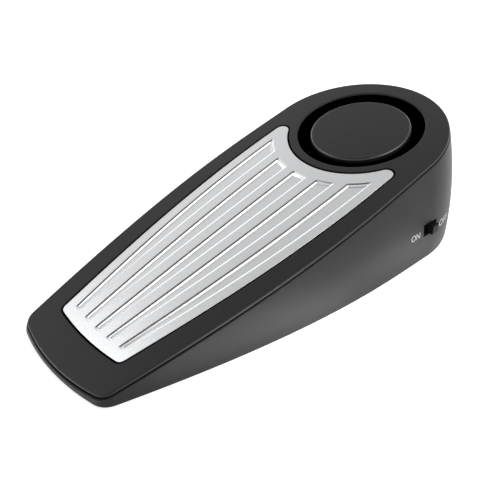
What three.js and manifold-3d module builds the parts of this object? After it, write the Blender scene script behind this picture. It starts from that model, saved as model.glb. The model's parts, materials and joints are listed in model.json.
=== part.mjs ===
// Door stop alarm: a sloped wedge with a sprung metal pressure plate, a round siren and a slide switch.
// Millimetres. Inside the groups x = 0 is the siren's axis, +x runs to the thick end, +y to the left side
// and z = 0 is the floor. The outermost group moves the origin to the middle of the footprint.
import * as THREE from 'three';
import { mergeVertices } from 'three/addons/utils/BufferGeometryUtils.js';
import Module from 'manifold-3d';

const wasm = await Module();
wasm.setup();

// Shared clearances and allowances
const fit = 0.3;              // between pieces that seat on each other
const bond = 0.1;             // glue film under the plate and the pads
const overrun = 2;            // how far a cutting body reaches past what it cuts
const joinDepth = 0.4;        // how far a rib or boss runs into the wall that carries it

// The wedge
const slopeAngle = THREE.MathUtils.degToRad(14.04);
const footProud = 0.8;        // the case bottom stands this far off the floor
const tipX = -112.95;
const noseSagitta = 2.74;
const noseHalfWidth = 18.98;
const noseCorner = 4.5;
const rearCentreX = -3.97;
const rearRadius = 29.37;
const sideStartShares = { along: 0.563, across: 1.19 };
const sideEndShare = 0.2;
const flareDepth = 30.5;      // depth below the top edge where the walls bulge most
const flareOut = 4.26;        // and how far out they are there
const bottomChamfer = 0.5;
const wall = 2;
const cavityFrontX = -97;     // the nose is solid ahead of this
const outlineSteps = { noseSteps: 5, cornerSteps: 5, sideSteps: 14, rearSteps: 16 };
const wallRings = 8;

// The top cover
const coverThickness = 2.2;
const flangeThickness = 0.7;
const flangeFillet = 0.45;
const seam = 0.35;            // shadow gap between the cover's flange and the wall
const clipLength = 7;
const clipThickness = 1.2;
const clipDepth = 3;
const clipStations = [-78, -30];

// The pressure plate, measured along the slope (u) and across (v)
const plateThickness = 1.2;
const plateDrop = 0.15;       // below the top face
const plateGap = 0.6;
const plateFrontU = -106.3;
const plateSagitta = 1.1;
const plateFrontHalf = 13.8;
const plateCorner = 2;
const plateRearHalf = 23.4;
const plateSideEndU = -18;
const plateArcRadius = 23.3;  // concave rear edge, about the siren's axis
const hornRadius = 2.2;
const plateStartShares = { along: 0.163, across: 0.26 };
const plateEndShare = 0.444;
const plateSteps = { noseSteps: 5, cornerSteps: 4, sideSteps: 12, hornSteps: 7, rearSteps: 12 };
const fluteCount = 5;
const fluteMargin = 2.9;
const ribWidth = 3.05;
const fluteFrontMargin = 3.2;
const fluteRearMargin = 4.4;
const fluteDepth = 0.7;
const fluteDraft = 0.4;
const fluteEndRadius = 0.9;
const fluteSteps = 8;
const fluteNoseSteps = 6;

// Carrier, hinge and springs under the plate
const carrierThickness = 1.6;
const carrierInset = 0.4;
const pinU = -92;
const pinDepth = 3.2;
const pinRadius = 0.8;
const pinHalfLength = 15;
const earY = 9.5;
const earThickness = 1.8;
const earRadius = 1.7;
const knuckleWall = 1;
const knuckleY = 13;
const knuckleLength = 3.4;
const hookLength = 6;
const hookReach = 1.2;
const hookThickness = 1.2;
const hookStations = [-62, -38];
const springY = 18;
const springRadius = 2.8;     // to the middle of the wire
const springWire = 0.6;
const springCurls = 6;
const stepsPerCurl = 8;
const springSides = 5;
const springBottomZ = 9;
const springTopZ = 18.6;
const postRadius = 1.9;
const postHeight = 2.6;
const seatRadius = 3.7;

// The siren
const wellRadius = 20;
const wellWall = 1.4;
const wellDepth = 4;          // bottom of the well's wall below the top face
const wellEdge = 0.45;         // break on the well's rim
const capRadius = 15.96;
const capDrop = 0.46;
const capThickness = 1.7;
const capFillet = 0.7;
const capLegRadius = 1.3;
const capLegCircle = 11.5;
const capLegCount = 3;
const soundFloor = 1.2;
const spigotHeight = 0.9;
const spigotWall = 0.8;
const soundHoleRadius = 4;
const soundSlotCount = 3;
const soundSlotShare = 0.7;   // of each third of a turn
const earScrewCircle = 24.6;
const earScrewAngles = [88, -88];
const sirenEarRadius = 2.4;
const brassRadius = 13.5;
const brassThickness = 0.25;
const ceramicRadius = 9;
const ceramicThickness = 0.2;
const retainerRadius = 15;
const retainerWall = 1.2;
const retainerLip = 1.6;
const retainerLipThickness = 0.9;
const sounderClearance = 0.63;   // from the battery's top to the retainer's lowest corner

// Screws
const screwRadius = 1.1;
const screwHeadRadius = 2.1;
const screwHeadHeight = 1;
const caseScrewLength = 9;
const smallScrewRadius = 0.7;
const smallHeadRadius = 1.25;
const smallHeadHeight = 0.6;
const smallScrewLength = 3;
const bossWall = 1.9;
const wallBossX = -62;
const wallBossInset = 2.4;    // boss axis inside the wall's inner face
const wallBossTop = 10;
const pillarX = 11;
const pillarY = 19.5;

// The base
const baseThickness = 2;
const tongueHalfWidth = 8;
const tongueReach = 4;
const tongueThickness = 0.9;
const doorThickness = 1.6;
const doorHingeGap = 0.6;
const doorChamfer = 0.8;
const doorCorner = 1.5;
const tabHalfWidth = 3.5;
const tabY = 8;
const tabReach = 2.2;
const tabThickness = 1;
const tabStem = 1.2;
const gripDepth = 0.7;
const gripRadius = 5;
const bayWall = 1.2;
const bayHeight = 8;

// Battery: the common rectangular nine volt block
const batteryRearX = 20.6;
const batteryLength = 46.4;   // without its terminals
const batteryWidth = 26.5;
const batteryHeight = 17.5;
const batteryRound = 1.6;
const batteryBottomZ = 2.6;
const terminalY = 6.35;
const terminalRadius = 2.9;
const terminalHeight = 2;
const snapThickness = 4.4;
const snapHeight = 12;
const snapRound = 3;

// Circuit board
const leadRoom = 12.5;         // between the battery snap and the board
const boardLength = 35;
const boardWidth = 32;
const boardThickness = 1.6;
const standoffHeight = 2;
const standoffRadius = 2.3;
const standoffInset = 3.4;
const triggerInset = 7;        // from the board's rear edge, like the places below
const triggerSize = 6;
const triggerHeight = 3.6;
const plungerRadius = 1.75;
const plungerHeight = 2.2;
const pressAngle = THREE.MathUtils.degToRad(1);   // how far the plate goes down
const plungerSeat = 0.8;      // length of the plunger's stem inside the switch
const coilAt = { inset: 10, y: 9.5 };
const coilRadius = 4;
const coilHeight = 6.5;
const capacitorRadius = 2.5;
const capacitorHeight = 5.5;
const capacitorsAt = [{ inset: 7, y: -10 }, { inset: 15, y: -10.5 }];
const chipAt = { inset: 22, y: 0 };
const chipSize = { length: 9, width: 4, height: 1.5 };
const chipPins = 4;
const pinWidth = 0.4;
const pinPitch = 2;
const pinReach = 1;
const transistorAt = { inset: 18, y: 9 };
const transistorSize = { length: 4.5, width: 3.4, height: 3 };

// Slide switch in the right-hand wall
const switchX = -4.25;
const switchZ = 11.35;
const slotWidth = 6.3;
const slotHeight = 3.9;
const switchLength = 11;
const switchDepth = 5;
const switchHeight = 5.4;
const shelfThickness = 1.2;
const shelfLength = 8;
const knobWidth = 2.8;
const knobHeight = 3.05;
const knobLow = 0.13;         // its middle is below the slot's
const knobProud = 1.55;
const knobCrown = 0.3;
const knobTravel = 1.4;

// Rubber feet
const footRound = 3;
const footMargin = 4;          // from the base plate's front edge
const footDoorGap = 2.65;      // from the door opening's side
const frontFoot = { length: 11, width: 28 };
const midFoot = { length: 22, width: 8 };
const rearFoot = { length: 18, width: 7 };

// Leads
const leadRadius = 0.6;
const leadSides = 8;
const leadSteps = 18;
const passY = 11.2;           // between the battery snap and a spring seat
const sounderLeads = {
  red: { u: 4, v: 5, onCeramic: true, beside: 1, footY: 11.6 },
  black: { u: -3, v: 9.8, onCeramic: false, beside: 2.6, footY: 14.6 },
};
const switchLeads = {
  red: { x: -7, z: 9.6, outside: 1.2, footY: -8.4 },
  black: { x: -1, z: 13.2, outside: 1.2, footY: -10.8 },
};

const roundSides = 40;
const smallSides = 16;
const arcSteps = 10;
const cornerSteps = 4;
const halvings = 30;

// Materials
function plastic(color, roughness) {
  return new THREE.MeshStandardMaterial({ color, roughness, metalness: 0 });
}
function metal(color, roughness) {
  return new THREE.MeshStandardMaterial({ color, roughness, metalness: 1 });
}
const blackPlastic = () => plastic(0x2f2f30, 0.45);
const darkPlastic = () => plastic(0x161616, 0.55);
const satinMetal = () => metal(0xc9cbcc, 0.38);
const steel = () => metal(0xb4b6b8, 0.3);
const rubber = () => plastic(0x1b1b1b, 0.9);

// Depths along the slope's normal under the top face
const plateTopW = -plateDrop;
const plateUnderW = plateTopW - plateThickness;
const carrierTopW = plateUnderW - bond;
const carrierUnderW = carrierTopW - carrierThickness;
const rimW = -flangeThickness - seam;
const wellFloorW = -wellDepth - fit;
const soundUnderW = wellFloorW - soundFloor;
const brassTopW = soundUnderW - fit;
const retainerUnderW = brassTopW - brassThickness - ceramicThickness - fit - retainerLipThickness;

// Height of the top face over the floor at the siren's axis: the battery and the sounder go under it
const batteryTopZ = batteryBottomZ + batteryHeight;
const faceHeight = batteryTopZ + sounderClearance + retainerRadius * Math.sin(slopeAngle)
  - retainerUnderW * Math.cos(slopeAngle);

// Heights and matrices of the slope
const slopeRise = Math.tan(slopeAngle);
const caseBottomZ = footProud;
const baseTopZ = caseBottomZ + baseThickness;
const slopeMatrix = new THREE.Matrix4().makeRotationY(-slopeAngle).setPosition(0, 0, faceHeight);
const levelMatrix = slopeMatrix.clone().invert();
const faceZ = (x) => faceHeight + slopeRise * x;
const slopePoint = (u, v, w) => new THREE.Vector3(u, v, w).applyMatrix4(slopeMatrix);

// Turning three.js geometry into solids and back
function toSolid(geometry, matrix) {
  const bare = geometry.index ? geometry.toNonIndexed() : geometry.clone();
  bare.deleteAttribute('normal');
  bare.deleteAttribute('uv');
  if (matrix) bare.applyMatrix4(matrix);
  const merged = mergeVertices(bare, 1e-4);
  const index = Array.from(merged.index.array);
  const kept = [];
  for (let i = 0; i < index.length; i += 3) {
    const [a, b, c] = index.slice(i, i + 3);
    if (a !== b && b !== c && c !== a) kept.push(a, b, c);
  }
  return new wasm.Manifold(new wasm.Mesh({
    numProp: 3,
    vertProperties: new Float32Array(merged.attributes.position.array),
    triVerts: new Uint32Array(kept),
  }));
}

function toGeometry(solid) {
  const mesh = solid.getMesh();
  const geometry = new THREE.BufferGeometry();
  geometry.setAttribute('position', new THREE.BufferAttribute(new Float32Array(mesh.vertProperties), 3));
  geometry.setIndex(Array.from(mesh.triVerts));
  geometry.computeVertexNormals();
  return geometry;
}

function node(name, solid, material) {
  const mesh = new THREE.Mesh(toGeometry(solid), material);
  mesh.name = name;
  return mesh;
}

// The span between two distances from the middle, on the +1 or the -1 side
const onSide = (side, a, b) => [side * a, side * b].sort((p, q) => p - q);
const joinAll = (solids) => solids.reduce((all, next) => all.add(next));
const cutAll = (solid, cutters) => cutters.reduce((left, next) => left.subtract(next), solid);

// Basic bodies, each given by its limits
function box(x0, x1, y0, y1, z0, z1, matrix) {
  const geometry = new THREE.BoxGeometry(x1 - x0, y1 - y0, z1 - z0);
  geometry.translate((x0 + x1) / 2, (y0 + y1) / 2, (z0 + z1) / 2);
  return toSolid(geometry, matrix);
}

function post(x, y, z0, z1, radius, matrix, sides = smallSides) {
  const geometry = new THREE.CylinderGeometry(radius, radius, z1 - z0, sides);
  geometry.rotateX(Math.PI / 2);
  geometry.translate(x, y, (z0 + z1) / 2);
  return toSolid(geometry, matrix);
}

// A cylinder along y
function crossBar(x, z, y0, y1, radius, matrix) {
  const geometry = new THREE.CylinderGeometry(radius, radius, y1 - y0, smallSides);
  geometry.translate(x, (y0 + y1) / 2, z);
  return toSolid(geometry, matrix);
}

// A round body about the z axis from [radius, z] points that begin and end on the axis or close
function turned(profile, matrix, sides = roundSides) {
  const points = profile.map(([radius, z]) => new THREE.Vector2(radius, z));
  const geometry = new THREE.LatheGeometry(points, sides);
  geometry.rotateX(Math.PI / 2);
  return toSolid(geometry, matrix);
}

function slab(points, z0, z1, matrix) {
  const shape = new THREE.Shape(points);
  const geometry = new THREE.ExtrudeGeometry(shape, { depth: z1 - z0, bevelEnabled: false });
  geometry.translate(0, 0, z0);
  return toSolid(geometry, matrix);
}

function roundedRectangle(x0, x1, y0, y1, radius) {
  const shape = new THREE.Shape();
  shape.moveTo(x0 + radius, y0);
  shape.lineTo(x1 - radius, y0);
  shape.absarc(x1 - radius, y0 + radius, radius, -Math.PI / 2, 0);
  shape.absarc(x1 - radius, y1 - radius, radius, 0, Math.PI / 2);
  shape.absarc(x0 + radius, y1 - radius, radius, Math.PI / 2, Math.PI);
  shape.absarc(x0 + radius, y0 + radius, radius, Math.PI, Math.PI * 3 / 2);
  return tidyLoop(shape.getPoints(cornerSteps));
}

// A closed body through a stack of rings that all have the same number of points
function loft(rings) {
  const count = rings[0].length;
  const positions = rings.flat().flatMap((p) => [p.x, p.y, p.z]);
  const flat = rings[0].map((p) => new THREE.Vector2(p.x, p.y));
  const cap = THREE.ShapeUtils.triangulateShape(flat, []);
  const index = [];
  const lastRing = (rings.length - 1) * count;
  cap.forEach(([a, b, c]) => {
    index.push(a, c, b);
    index.push(lastRing + a, lastRing + b, lastRing + c);
  });
  for (let ring = 0; ring < rings.length - 1; ring += 1) {
    for (let i = 0; i < count; i += 1) {
      const a = ring * count + i;
      const b = ring * count + (i + 1) % count;
      index.push(a, b, b + count);
      index.push(a, b + count, a + count);
    }
  }
  const geometry = new THREE.BufferGeometry();
  geometry.setAttribute('position', new THREE.Float32BufferAttribute(positions, 3));
  geometry.setIndex(index);
  return toSolid(geometry);
}

// Outline work
function tidyLoop(points) {
  const close = fit / 10;
  const kept = points.filter((p, i) => i === 0 || p.distanceTo(points[i - 1]) > close);
  if (kept[0].distanceTo(kept[kept.length - 1]) < close) kept.pop();
  return kept;
}

function loopNormals(points) {
  return points.map((p, i) => {
    const before = points[(i + points.length - 1) % points.length];
    const after = points[(i + 1) % points.length];
    const along = after.clone().sub(before).normalize();
    return new THREE.Vector2(along.y, -along.x);
  });
}

function offsetLoop(points, distance) {
  const normals = loopNormals(points);
  return points.map((p, i) => p.clone().addScaledVector(normals[i], distance));
}

// Half an outline mirrored into a whole anticlockwise loop. The half runs from front to rear on the -y side.
function mirrorLoop(half) {
  const other = half.map((p) => new THREE.Vector2(p.x, -p.y)).reverse();
  return tidyLoop([...half, ...other]);
}

function arcPoints(centreX, centreY, radius, from, to, steps) {
  return Array.from({ length: steps + 1 }, (_, i) => {
    const angle = from + (to - from) * i / steps;
    return new THREE.Vector2(centreX + radius * Math.cos(angle), centreY + radius * Math.sin(angle));
  });
}

// A path of points with the bend at its corner rounded between two runs
function roundCorner(before, corner, after, radius, steps) {
  const back = before.clone().sub(corner).normalize();
  const on = after.clone().sub(corner).normalize();
  const halfAngle = Math.acos(THREE.MathUtils.clamp(back.dot(on), -1, 1)) / 2;
  const reach = radius / Math.tan(halfAngle);
  const start = corner.clone().addScaledVector(back, reach);
  const end = corner.clone().addScaledVector(on, reach);
  const curve = new THREE.QuadraticBezierCurve(start, corner, end);
  return { reach, points: curve.getPoints(steps) };
}

// Outline with a bowed front edge, rounded corners and Bezier sides. It ends where the side ends.
function bowedFront({ frontX, sagitta, halfWidth, corner, side, steps }) {
  const bow = (halfWidth * halfWidth + sagitta * sagitta) / (2 * sagitta);
  const sweep = Math.asin(halfWidth / bow);
  const nose = arcPoints(frontX + bow, 0, bow, Math.PI, Math.PI + sweep, steps.noseSteps);
  const vertex = new THREE.Vector2(frontX + sagitta, -halfWidth);
  const sidePoints = side.getPoints(steps.sideSteps);
  const bend = roundCorner(nose[steps.noseSteps - 1], vertex, sidePoints[1], corner, steps.cornerSteps);
  const clear = (p) => p.distanceTo(vertex) > bend.reach;
  return [...nose.filter(clear), ...bend.points, ...sidePoints.filter(clear)];
}

// A side that leaves its front corner by shares of its own length and widening, and ends straight along x
function sideCurve(start, end, startShares, endShare) {
  const length = end.x - start.x;
  const widening = start.y - end.y;
  return new THREE.CubicBezierCurve(
    start,
    new THREE.Vector2(start.x + startShares.along * length, start.y - startShares.across * widening),
    new THREE.Vector2(end.x - endShare * length, end.y),
    end,
  );
}

function caseOutline() {
  const start = new THREE.Vector2(tipX + noseSagitta, -noseHalfWidth);
  const end = new THREE.Vector2(rearCentreX, -rearRadius);
  const side = sideCurve(start, end, sideStartShares, sideEndShare);
  const front = bowedFront({
    frontX: tipX, sagitta: noseSagitta, halfWidth: noseHalfWidth, corner: noseCorner,
    side, steps: outlineSteps,
  });
  const rear = arcPoints(rearCentreX, 0, rearRadius, -Math.PI / 2, 0, outlineSteps.rearSteps);
  return mirrorLoop([...front, ...rear]);
}

// Side of the plate from its front corner to where it runs straight along the well
function plateSide() {
  const start = new THREE.Vector2(plateFrontU + plateSagitta, -plateFrontHalf);
  const end = new THREE.Vector2(plateSideEndU, -plateRearHalf);
  return sideCurve(start, end, plateStartShares, plateEndShare);
}

function plateOutline() {
  const front = bowedFront({
    frontX: plateFrontU, sagitta: plateSagitta, halfWidth: plateFrontHalf, corner: plateCorner,
    side: plateSide(), steps: plateSteps,
  });
  // the horn is an arc tangent to the side and to the concave rear edge
  const hornV = plateRearHalf - hornRadius;
  const hornAway = plateArcRadius + hornRadius;
  const hornU = -Math.sqrt(hornAway * hornAway - hornV * hornV);
  const meet = Math.atan2(hornV, -hornU);
  const horn = arcPoints(hornU, -hornV, hornRadius, -Math.PI / 2, meet, plateSteps.hornSteps);
  const arc = arcPoints(0, 0, plateArcRadius, Math.PI + meet, Math.PI, plateSteps.rearSteps);
  return mirrorLoop([...front, ...horn, ...arc]);
}

const outline = caseOutline();
const outlineNormals = loopNormals(outline);
const plateLoop = plateOutline();
const stretchToSlope = (points) => points.map((p) => new THREE.Vector2(p.x / Math.cos(slopeAngle), p.y));

// The wall leans out with depth below the top edge, as a parabola that peaks at flareDepth
function flare(depth) {
  const share = depth / flareDepth;
  return flareOut * (2 * share - share * share);
}

function wallRing(inset, share, drop) {
  return outline.map((p, i) => {
    const height = faceZ(p.x) - caseBottomZ;
    const depth = share * height + drop;
    const out = flare(depth) - inset;
    return new THREE.Vector3(
      p.x + out * outlineNormals[i].x,
      p.y + out * outlineNormals[i].y,
      faceZ(p.x) - depth,
    );
  });
}

// Body inside the walls, set in by a distance, reaching past the bottom by an overrun
function wallLoft(inset, drop) {
  const rings = Array.from({ length: wallRings + 1 }, (_, i) => wallRing(inset, 1 - i / wallRings, 0));
  return loft(drop ? [wallRing(inset, 1, drop), ...rings] : rings);
}

// Everything below (or above) a plane parallel to the top face
function slopeSlab(w0, w1) {
  const reach = rearRadius - tipX;
  return box(tipX - reach, reach, -reach, reach, w0, w1, slopeMatrix);
}

// Inner half-width of the case at a place: where the wall's inner face stands
function innerHalfWidth(x, z) {
  const ring = outline.map((p, i) => {
    const out = flare(faceZ(p.x) - z) - wall;
    return new THREE.Vector2(p.x + out * outlineNormals[i].x, p.y + out * outlineNormals[i].y);
  });
  const left = ring.filter((p) => p.y > 0).sort((a, b) => a.x - b.x);
  const k = left.findIndex((p) => p.x > x);
  const share = (x - left[k - 1].x) / (left[k].x - left[k - 1].x);
  return THREE.MathUtils.lerp(left[k - 1].y, left[k].y, share);
}

const cavityFilter = box(
  cavityFrontX, cavityFrontX + 2 * (rearRadius - tipX), tipX, -tipX, -faceHeight, 2 * faceHeight,
);
const cavity = wallLoft(wall, overrun).intersect(cavityFilter);
const snugCavity = wallLoft(wall + fit, overrun).intersect(
  box(cavityFrontX + fit, cavityFrontX + 2 * (rearRadius - tipX), tipX, -tipX, -faceHeight, 2 * faceHeight),
);

// Screw places
const pillars = [1, -1].map((side) => ({ x: pillarX, y: side * pillarY }));
const wallBosses = [1, -1].map((side) => ({
  x: wallBossX,
  y: side * (innerHalfWidth(wallBossX, baseTopZ) - wallBossInset),
}));
const earPlaces = earScrewAngles.map((degrees) => {
  const angle = THREE.MathUtils.degToRad(degrees);
  return { u: earScrewCircle * Math.cos(angle), v: earScrewCircle * Math.sin(angle) };
});
const bossRadius = screwRadius + bossWall;
const pilotRadius = screwRadius + fit;
const smallPilotRadius = smallScrewRadius + fit;

// Case wall
const slotCutter = box(
  switchX - slotWidth / 2, switchX + slotWidth / 2,
  -rearRadius - flareOut - overrun, -rearRadius + wall,
  switchZ - slotHeight / 2, switchZ + slotHeight / 2,
);
const switchInnerY = -innerHalfWidth(switchX - switchLength / 2, switchZ + switchHeight / 2);
const shelfRootY = -(innerHalfWidth(switchX, switchZ - switchHeight) + joinDepth);

function mainHousing() {
  const shell = wallLoft(0, 0).intersect(chamferTrim());
  const open = shell.subtract(cavity).subtract(slopeSlab(rimW, faceHeight));
  const bosses = wallBosses.map((p) => post(p.x, p.y, baseTopZ + fit, wallBossTop, bossRadius));
  const webs = wallBosses.map((p) => {
    const span = onSide(Math.sign(p.y), Math.abs(p.y), innerHalfWidth(p.x, wallBossTop) + joinDepth);
    return box(p.x - bossRadius, p.x + bossRadius, ...span, baseTopZ + fit, wallBossTop);
  });
  const pilots = wallBosses.map((p) => post(p.x, p.y, 0, caseBottomZ + caseScrewLength, pilotRadius));
  const shelves = [1, -1].map((side) => {
    const inner = switchZ + side * (switchHeight / 2 + fit);
    const outer = inner + side * shelfThickness;
    return box(
      switchX - shelfLength / 2, switchX + shelfLength / 2,
      shelfRootY, switchInnerY + switchDepth,
      Math.min(inner, outer), Math.max(inner, outer),
    );
  });
  const nosePocket = slab(
    offsetLoop(plateLoop, plateGap), carrierUnderW - fit, overrun, slopeMatrix,
  );
  const tonguePocket = box(
    cavityFrontX - tongueReach - fit, cavityFrontX + overrun,
    -tongueHalfWidth - fit, tongueHalfWidth + fit,
    baseTopZ - tongueThickness - fit, baseTopZ + fit,
  );
  const body = joinAll([open, ...bosses, ...webs, ...shelves]);
  return cutAll(body, [...pilots, slotCutter, nosePocket, tonguePocket]);
}

// A body that trims the wall's bottom edge to a chamfer and clears the wall above it
function chamferTrim() {
  const ring = (z, reachOf) => outline.map((p, i) => {
    const out = reachOf(p);
    return new THREE.Vector3(p.x + out * outlineNormals[i].x, p.y + out * outlineNormals[i].y, z);
  });
  const chamferZ = caseBottomZ + bottomChamfer;
  const atBottom = (p) => flare(faceZ(p.x) - caseBottomZ) - bottomChamfer;
  const atChamfer = (p) => flare(faceZ(p.x) - chamferZ);
  const clear = () => flareOut + overrun;
  return loft([
    ring(caseBottomZ, atBottom), ring(chamferZ, atChamfer), ring(chamferZ + overrun, clear),
    ring(2 * faceHeight, clear),
  ]);
}

// Top cover: a thin flange over the wall's rim and a thicker panel inside it
function topCover() {
  const slopeOutline = stretchToSlope(outline);
  const flangeGeometry = new THREE.ExtrudeGeometry(new THREE.Shape(offsetLoop(slopeOutline, -flangeFillet)), {
    depth: flangeThickness - flangeFillet,
    bevelThickness: flangeFillet,
    bevelSize: flangeFillet,
    bevelSegments: 3,
    bevelOffset: 0,
  });
  flangeGeometry.translate(0, 0, -flangeThickness);
  const flange = toSolid(flangeGeometry, slopeMatrix).subtract(
    slopeSlab(-faceHeight, -flangeThickness),
  );
  const panel = snugCavity.intersect(slopeSlab(-coverThickness, -flangeThickness / 2));
  const wellTube = post(
    0, 0, -wellDepth, -coverThickness / 2, wellRadius + wellWall, slopeMatrix, roundSides,
  );
  const earBosses = earPlaces.map((p) => (
    post(p.u, p.v, -wellDepth, -coverThickness / 2, sirenEarRadius, slopeMatrix)
  ));
  const legs = pillars.map((p) => post(p.x, p.y, baseTopZ + fit, faceHeight, bossRadius));
  const underFace = slopeSlab(-2 * faceHeight, -flangeThickness);
  const clips = clipStations.flatMap((x) => [1, -1].map((side) => clipBody(x, side)));
  const opening = slab(offsetLoop(plateLoop, plateGap), -coverThickness - overrun, overrun, slopeMatrix);
  const well = post(0, 0, -faceHeight, overrun, wellRadius, slopeMatrix, roundSides);
  const edgeRadius = wellRadius + wellEdge;
  const coneProfile = [[0, -edgeRadius], [edgeRadius, 0], [edgeRadius, overrun], [0, overrun]];
  const edgeCone = turned(coneProfile, slopeMatrix);
  const pilots = pillars.map((p) => post(p.x, p.y, 0, caseBottomZ + caseScrewLength, pilotRadius));
  const earPilots = earPlaces.map((p) => (
    post(p.u, p.v, -faceHeight, wellFloorW - soundFloor + smallScrewLength, smallPilotRadius, slopeMatrix)
  ));
  const hung = joinAll([wellTube, ...earBosses, ...legs.map((leg) => leg.intersect(underFace))])
    .intersect(snugCavity);
  const body = joinAll([flange, panel, hung, ...clips]);
  return cutAll(body, [opening, well, edgeCone, ...pilots, ...earPilots]);
}

// A clip that hangs from the panel just inside the wall
function clipBody(x, side) {
  const strip = wallLoft(wall + fit, 0).subtract(wallLoft(wall + fit + clipThickness, overrun));
  const inX = box(x - clipLength / 2, x + clipLength / 2, ...onSide(side, 0, -tipX), 0, 2 * faceHeight);
  const inW = slopeSlab(-coverThickness - clipDepth, -flangeThickness);
  return strip.intersect(inX).intersect(inW);
}

// Places along the case: battery, snap, springs, then the board and what stands on it
const batteryFrontX = batteryRearX - batteryLength;
const batteryMidZ = batteryBottomZ + batteryHeight / 2;
const snapRearX = batteryFrontX - fit;
const snapFrontX = snapRearX - snapThickness;
const springX = snapFrontX;
const boardRearX = snapFrontX - leadRoom;
const onBoardX = ({ inset }) => boardRearX - inset;
const triggerX = boardRearX - triggerInset;

// Base plate with door opening, battery bay, hinge ears, spring pedestals and board standoffs
const doorHalfWidth = batteryWidth / 2 + fit;
const openingFrontX = batteryFrontX - terminalHeight - fit;
const openingRearX = batteryRearX + fit;
const openingHalfWidth = doorHalfWidth + fit;
const doorFrontX = openingFrontX + doorHingeGap;
const doorRearX = openingRearX - fit;
const pinPlace = slopePoint(pinU, 0, -pinDepth);
const boardFrontX = boardRearX - boardLength;
const boardBottomZ = baseTopZ + standoffHeight + fit;
const boardTopZ = boardBottomZ + boardThickness;
const standoffs = [
  { x: boardFrontX + standoffInset, y: boardWidth / 2 - standoffInset },
  { x: boardFrontX + standoffInset, y: -boardWidth / 2 + standoffInset },
  { x: boardRearX - standoffInset, y: boardWidth / 2 - standoffInset },
  { x: boardRearX - standoffInset, y: -boardWidth / 2 + standoffInset },
];
const boardScrewPlaces = [standoffs[0], standoffs[3]];

function basePlate() {
  const plate = snugCavity.intersect(box(tipX, -tipX, tipX, -tipX, caseBottomZ, baseTopZ));
  const tongue = box(
    cavityFrontX - tongueReach, cavityFrontX + overrun, -tongueHalfWidth, tongueHalfWidth,
    baseTopZ - tongueThickness, baseTopZ,
  );
  const ears = [1, -1].map((side) => {
    const span = onSide(side, earY - earThickness / 2, earY + earThickness / 2);
    const [x0, x1] = [pinPlace.x - earRadius, pinPlace.x + earRadius];
    const stem = box(x0, x1, ...span, baseTopZ - joinDepth, pinPlace.z);
    return stem.add(crossBar(pinPlace.x, pinPlace.z, ...span, earRadius));
  });
  const bore = crossBar(pinPlace.x, pinPlace.z, -pinHalfLength, pinHalfLength, pinRadius + fit / 2);
  const pedestals = [1, -1].flatMap((side) => [
    post(springX, side * springY, baseTopZ - joinDepth, springBottomZ - fit, seatRadius),
    post(springX, side * springY, baseTopZ - joinDepth, springBottomZ + postHeight, postRadius),
  ]);
  const studs = standoffs.map((p) => (
    post(p.x, p.y, baseTopZ - joinDepth, boardBottomZ - fit, standoffRadius)
  ));
  const bayWalls = [1, -1].map((side) => {
    const span = onSide(side, openingHalfWidth, openingHalfWidth + bayWall);
    return box(openingFrontX + batteryLength / 4, openingRearX - batteryLength / 8, ...span,
      baseTopZ - joinDepth, baseTopZ + bayHeight);
  });
  const body = joinAll([plate, tongue, ...ears, ...pedestals, ...studs, ...bayWalls]);
  const opening = slab(
    roundedRectangle(openingFrontX, openingRearX, -openingHalfWidth, openingHalfWidth, doorCorner),
    0, baseTopZ + overrun,
  );
  const screwPlaces = [...pillars, ...wallBosses];
  const holes = screwPlaces.map((p) => post(p.x, p.y, 0, baseTopZ + overrun, pilotRadius));
  const sinks = screwPlaces.map((p) => (
    post(p.x, p.y, 0, caseBottomZ + screwHeadHeight + fit, screwHeadRadius + fit)
  ));
  const boardPilots = boardScrewPlaces.map((p) => post(p.x, p.y, baseTopZ, boardBottomZ, smallPilotRadius));
  return cutAll(body, [opening, bore, ...holes, ...sinks, ...boardPilots]);
}

function batteryDoor() {
  const topZ = caseBottomZ + doorThickness;
  const panel = slab(
    roundedRectangle(doorFrontX, doorRearX, -doorHalfWidth, doorHalfWidth, doorCorner), caseBottomZ, topZ,
  );
  const tabs = [1, -1].map((side) => {
    const centreY = side * tabY;
    const bottomZ = baseTopZ + fit;
    const tongue = box(openingFrontX - tabReach, doorFrontX + tabStem, centreY - tabHalfWidth,
      centreY + tabHalfWidth, bottomZ, bottomZ + tabThickness);
    const stem = box(doorFrontX, doorFrontX + tabStem, centreY - tabHalfWidth, centreY + tabHalfWidth,
      topZ - joinDepth, bottomZ + joinDepth);
    return tongue.add(stem);
  });
  const chamfer = new THREE.Matrix4().makeRotationY(Math.PI / 4).setPosition(doorFrontX, 0, caseBottomZ);
  const halfDiagonal = doorChamfer / Math.SQRT2;
  const bevel = box(-halfDiagonal, halfDiagonal, tipX, -tipX, -halfDiagonal, halfDiagonal, chamfer);
  const grip = turned([
    [0, -overrun], [gripRadius, -overrun], [gripRadius, 0],
    [gripRadius - gripDepth, gripDepth], [0, gripDepth],
  ], new THREE.Matrix4().makeTranslation(doorRearX - 2 * gripRadius, 0, caseBottomZ));
  return cutAll(joinAll([panel, ...tabs]), [bevel, grip]);
}

// Rubber feet: one across the thin end, a pair at the board's rear edge and a pair beside the door
function foot(x, y, { length, width }) {
  return slab(
    roundedRectangle(x - length / 2, x + length / 2, y - width / 2, y + width / 2, footRound),
    0, caseBottomZ - bond,
  );
}
const frontFootX = cavityFrontX + fit + footMargin + frontFoot.length / 2;
const midFootX = boardRearX - footRound;
const midFootY = boardWidth / 2 + fit + bayWall;
const rearFootX = (doorFrontX + doorRearX - rearFoot.width) / 2;
const rearFootY = openingHalfWidth + footDoorGap + rearFoot.width / 2;

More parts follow.
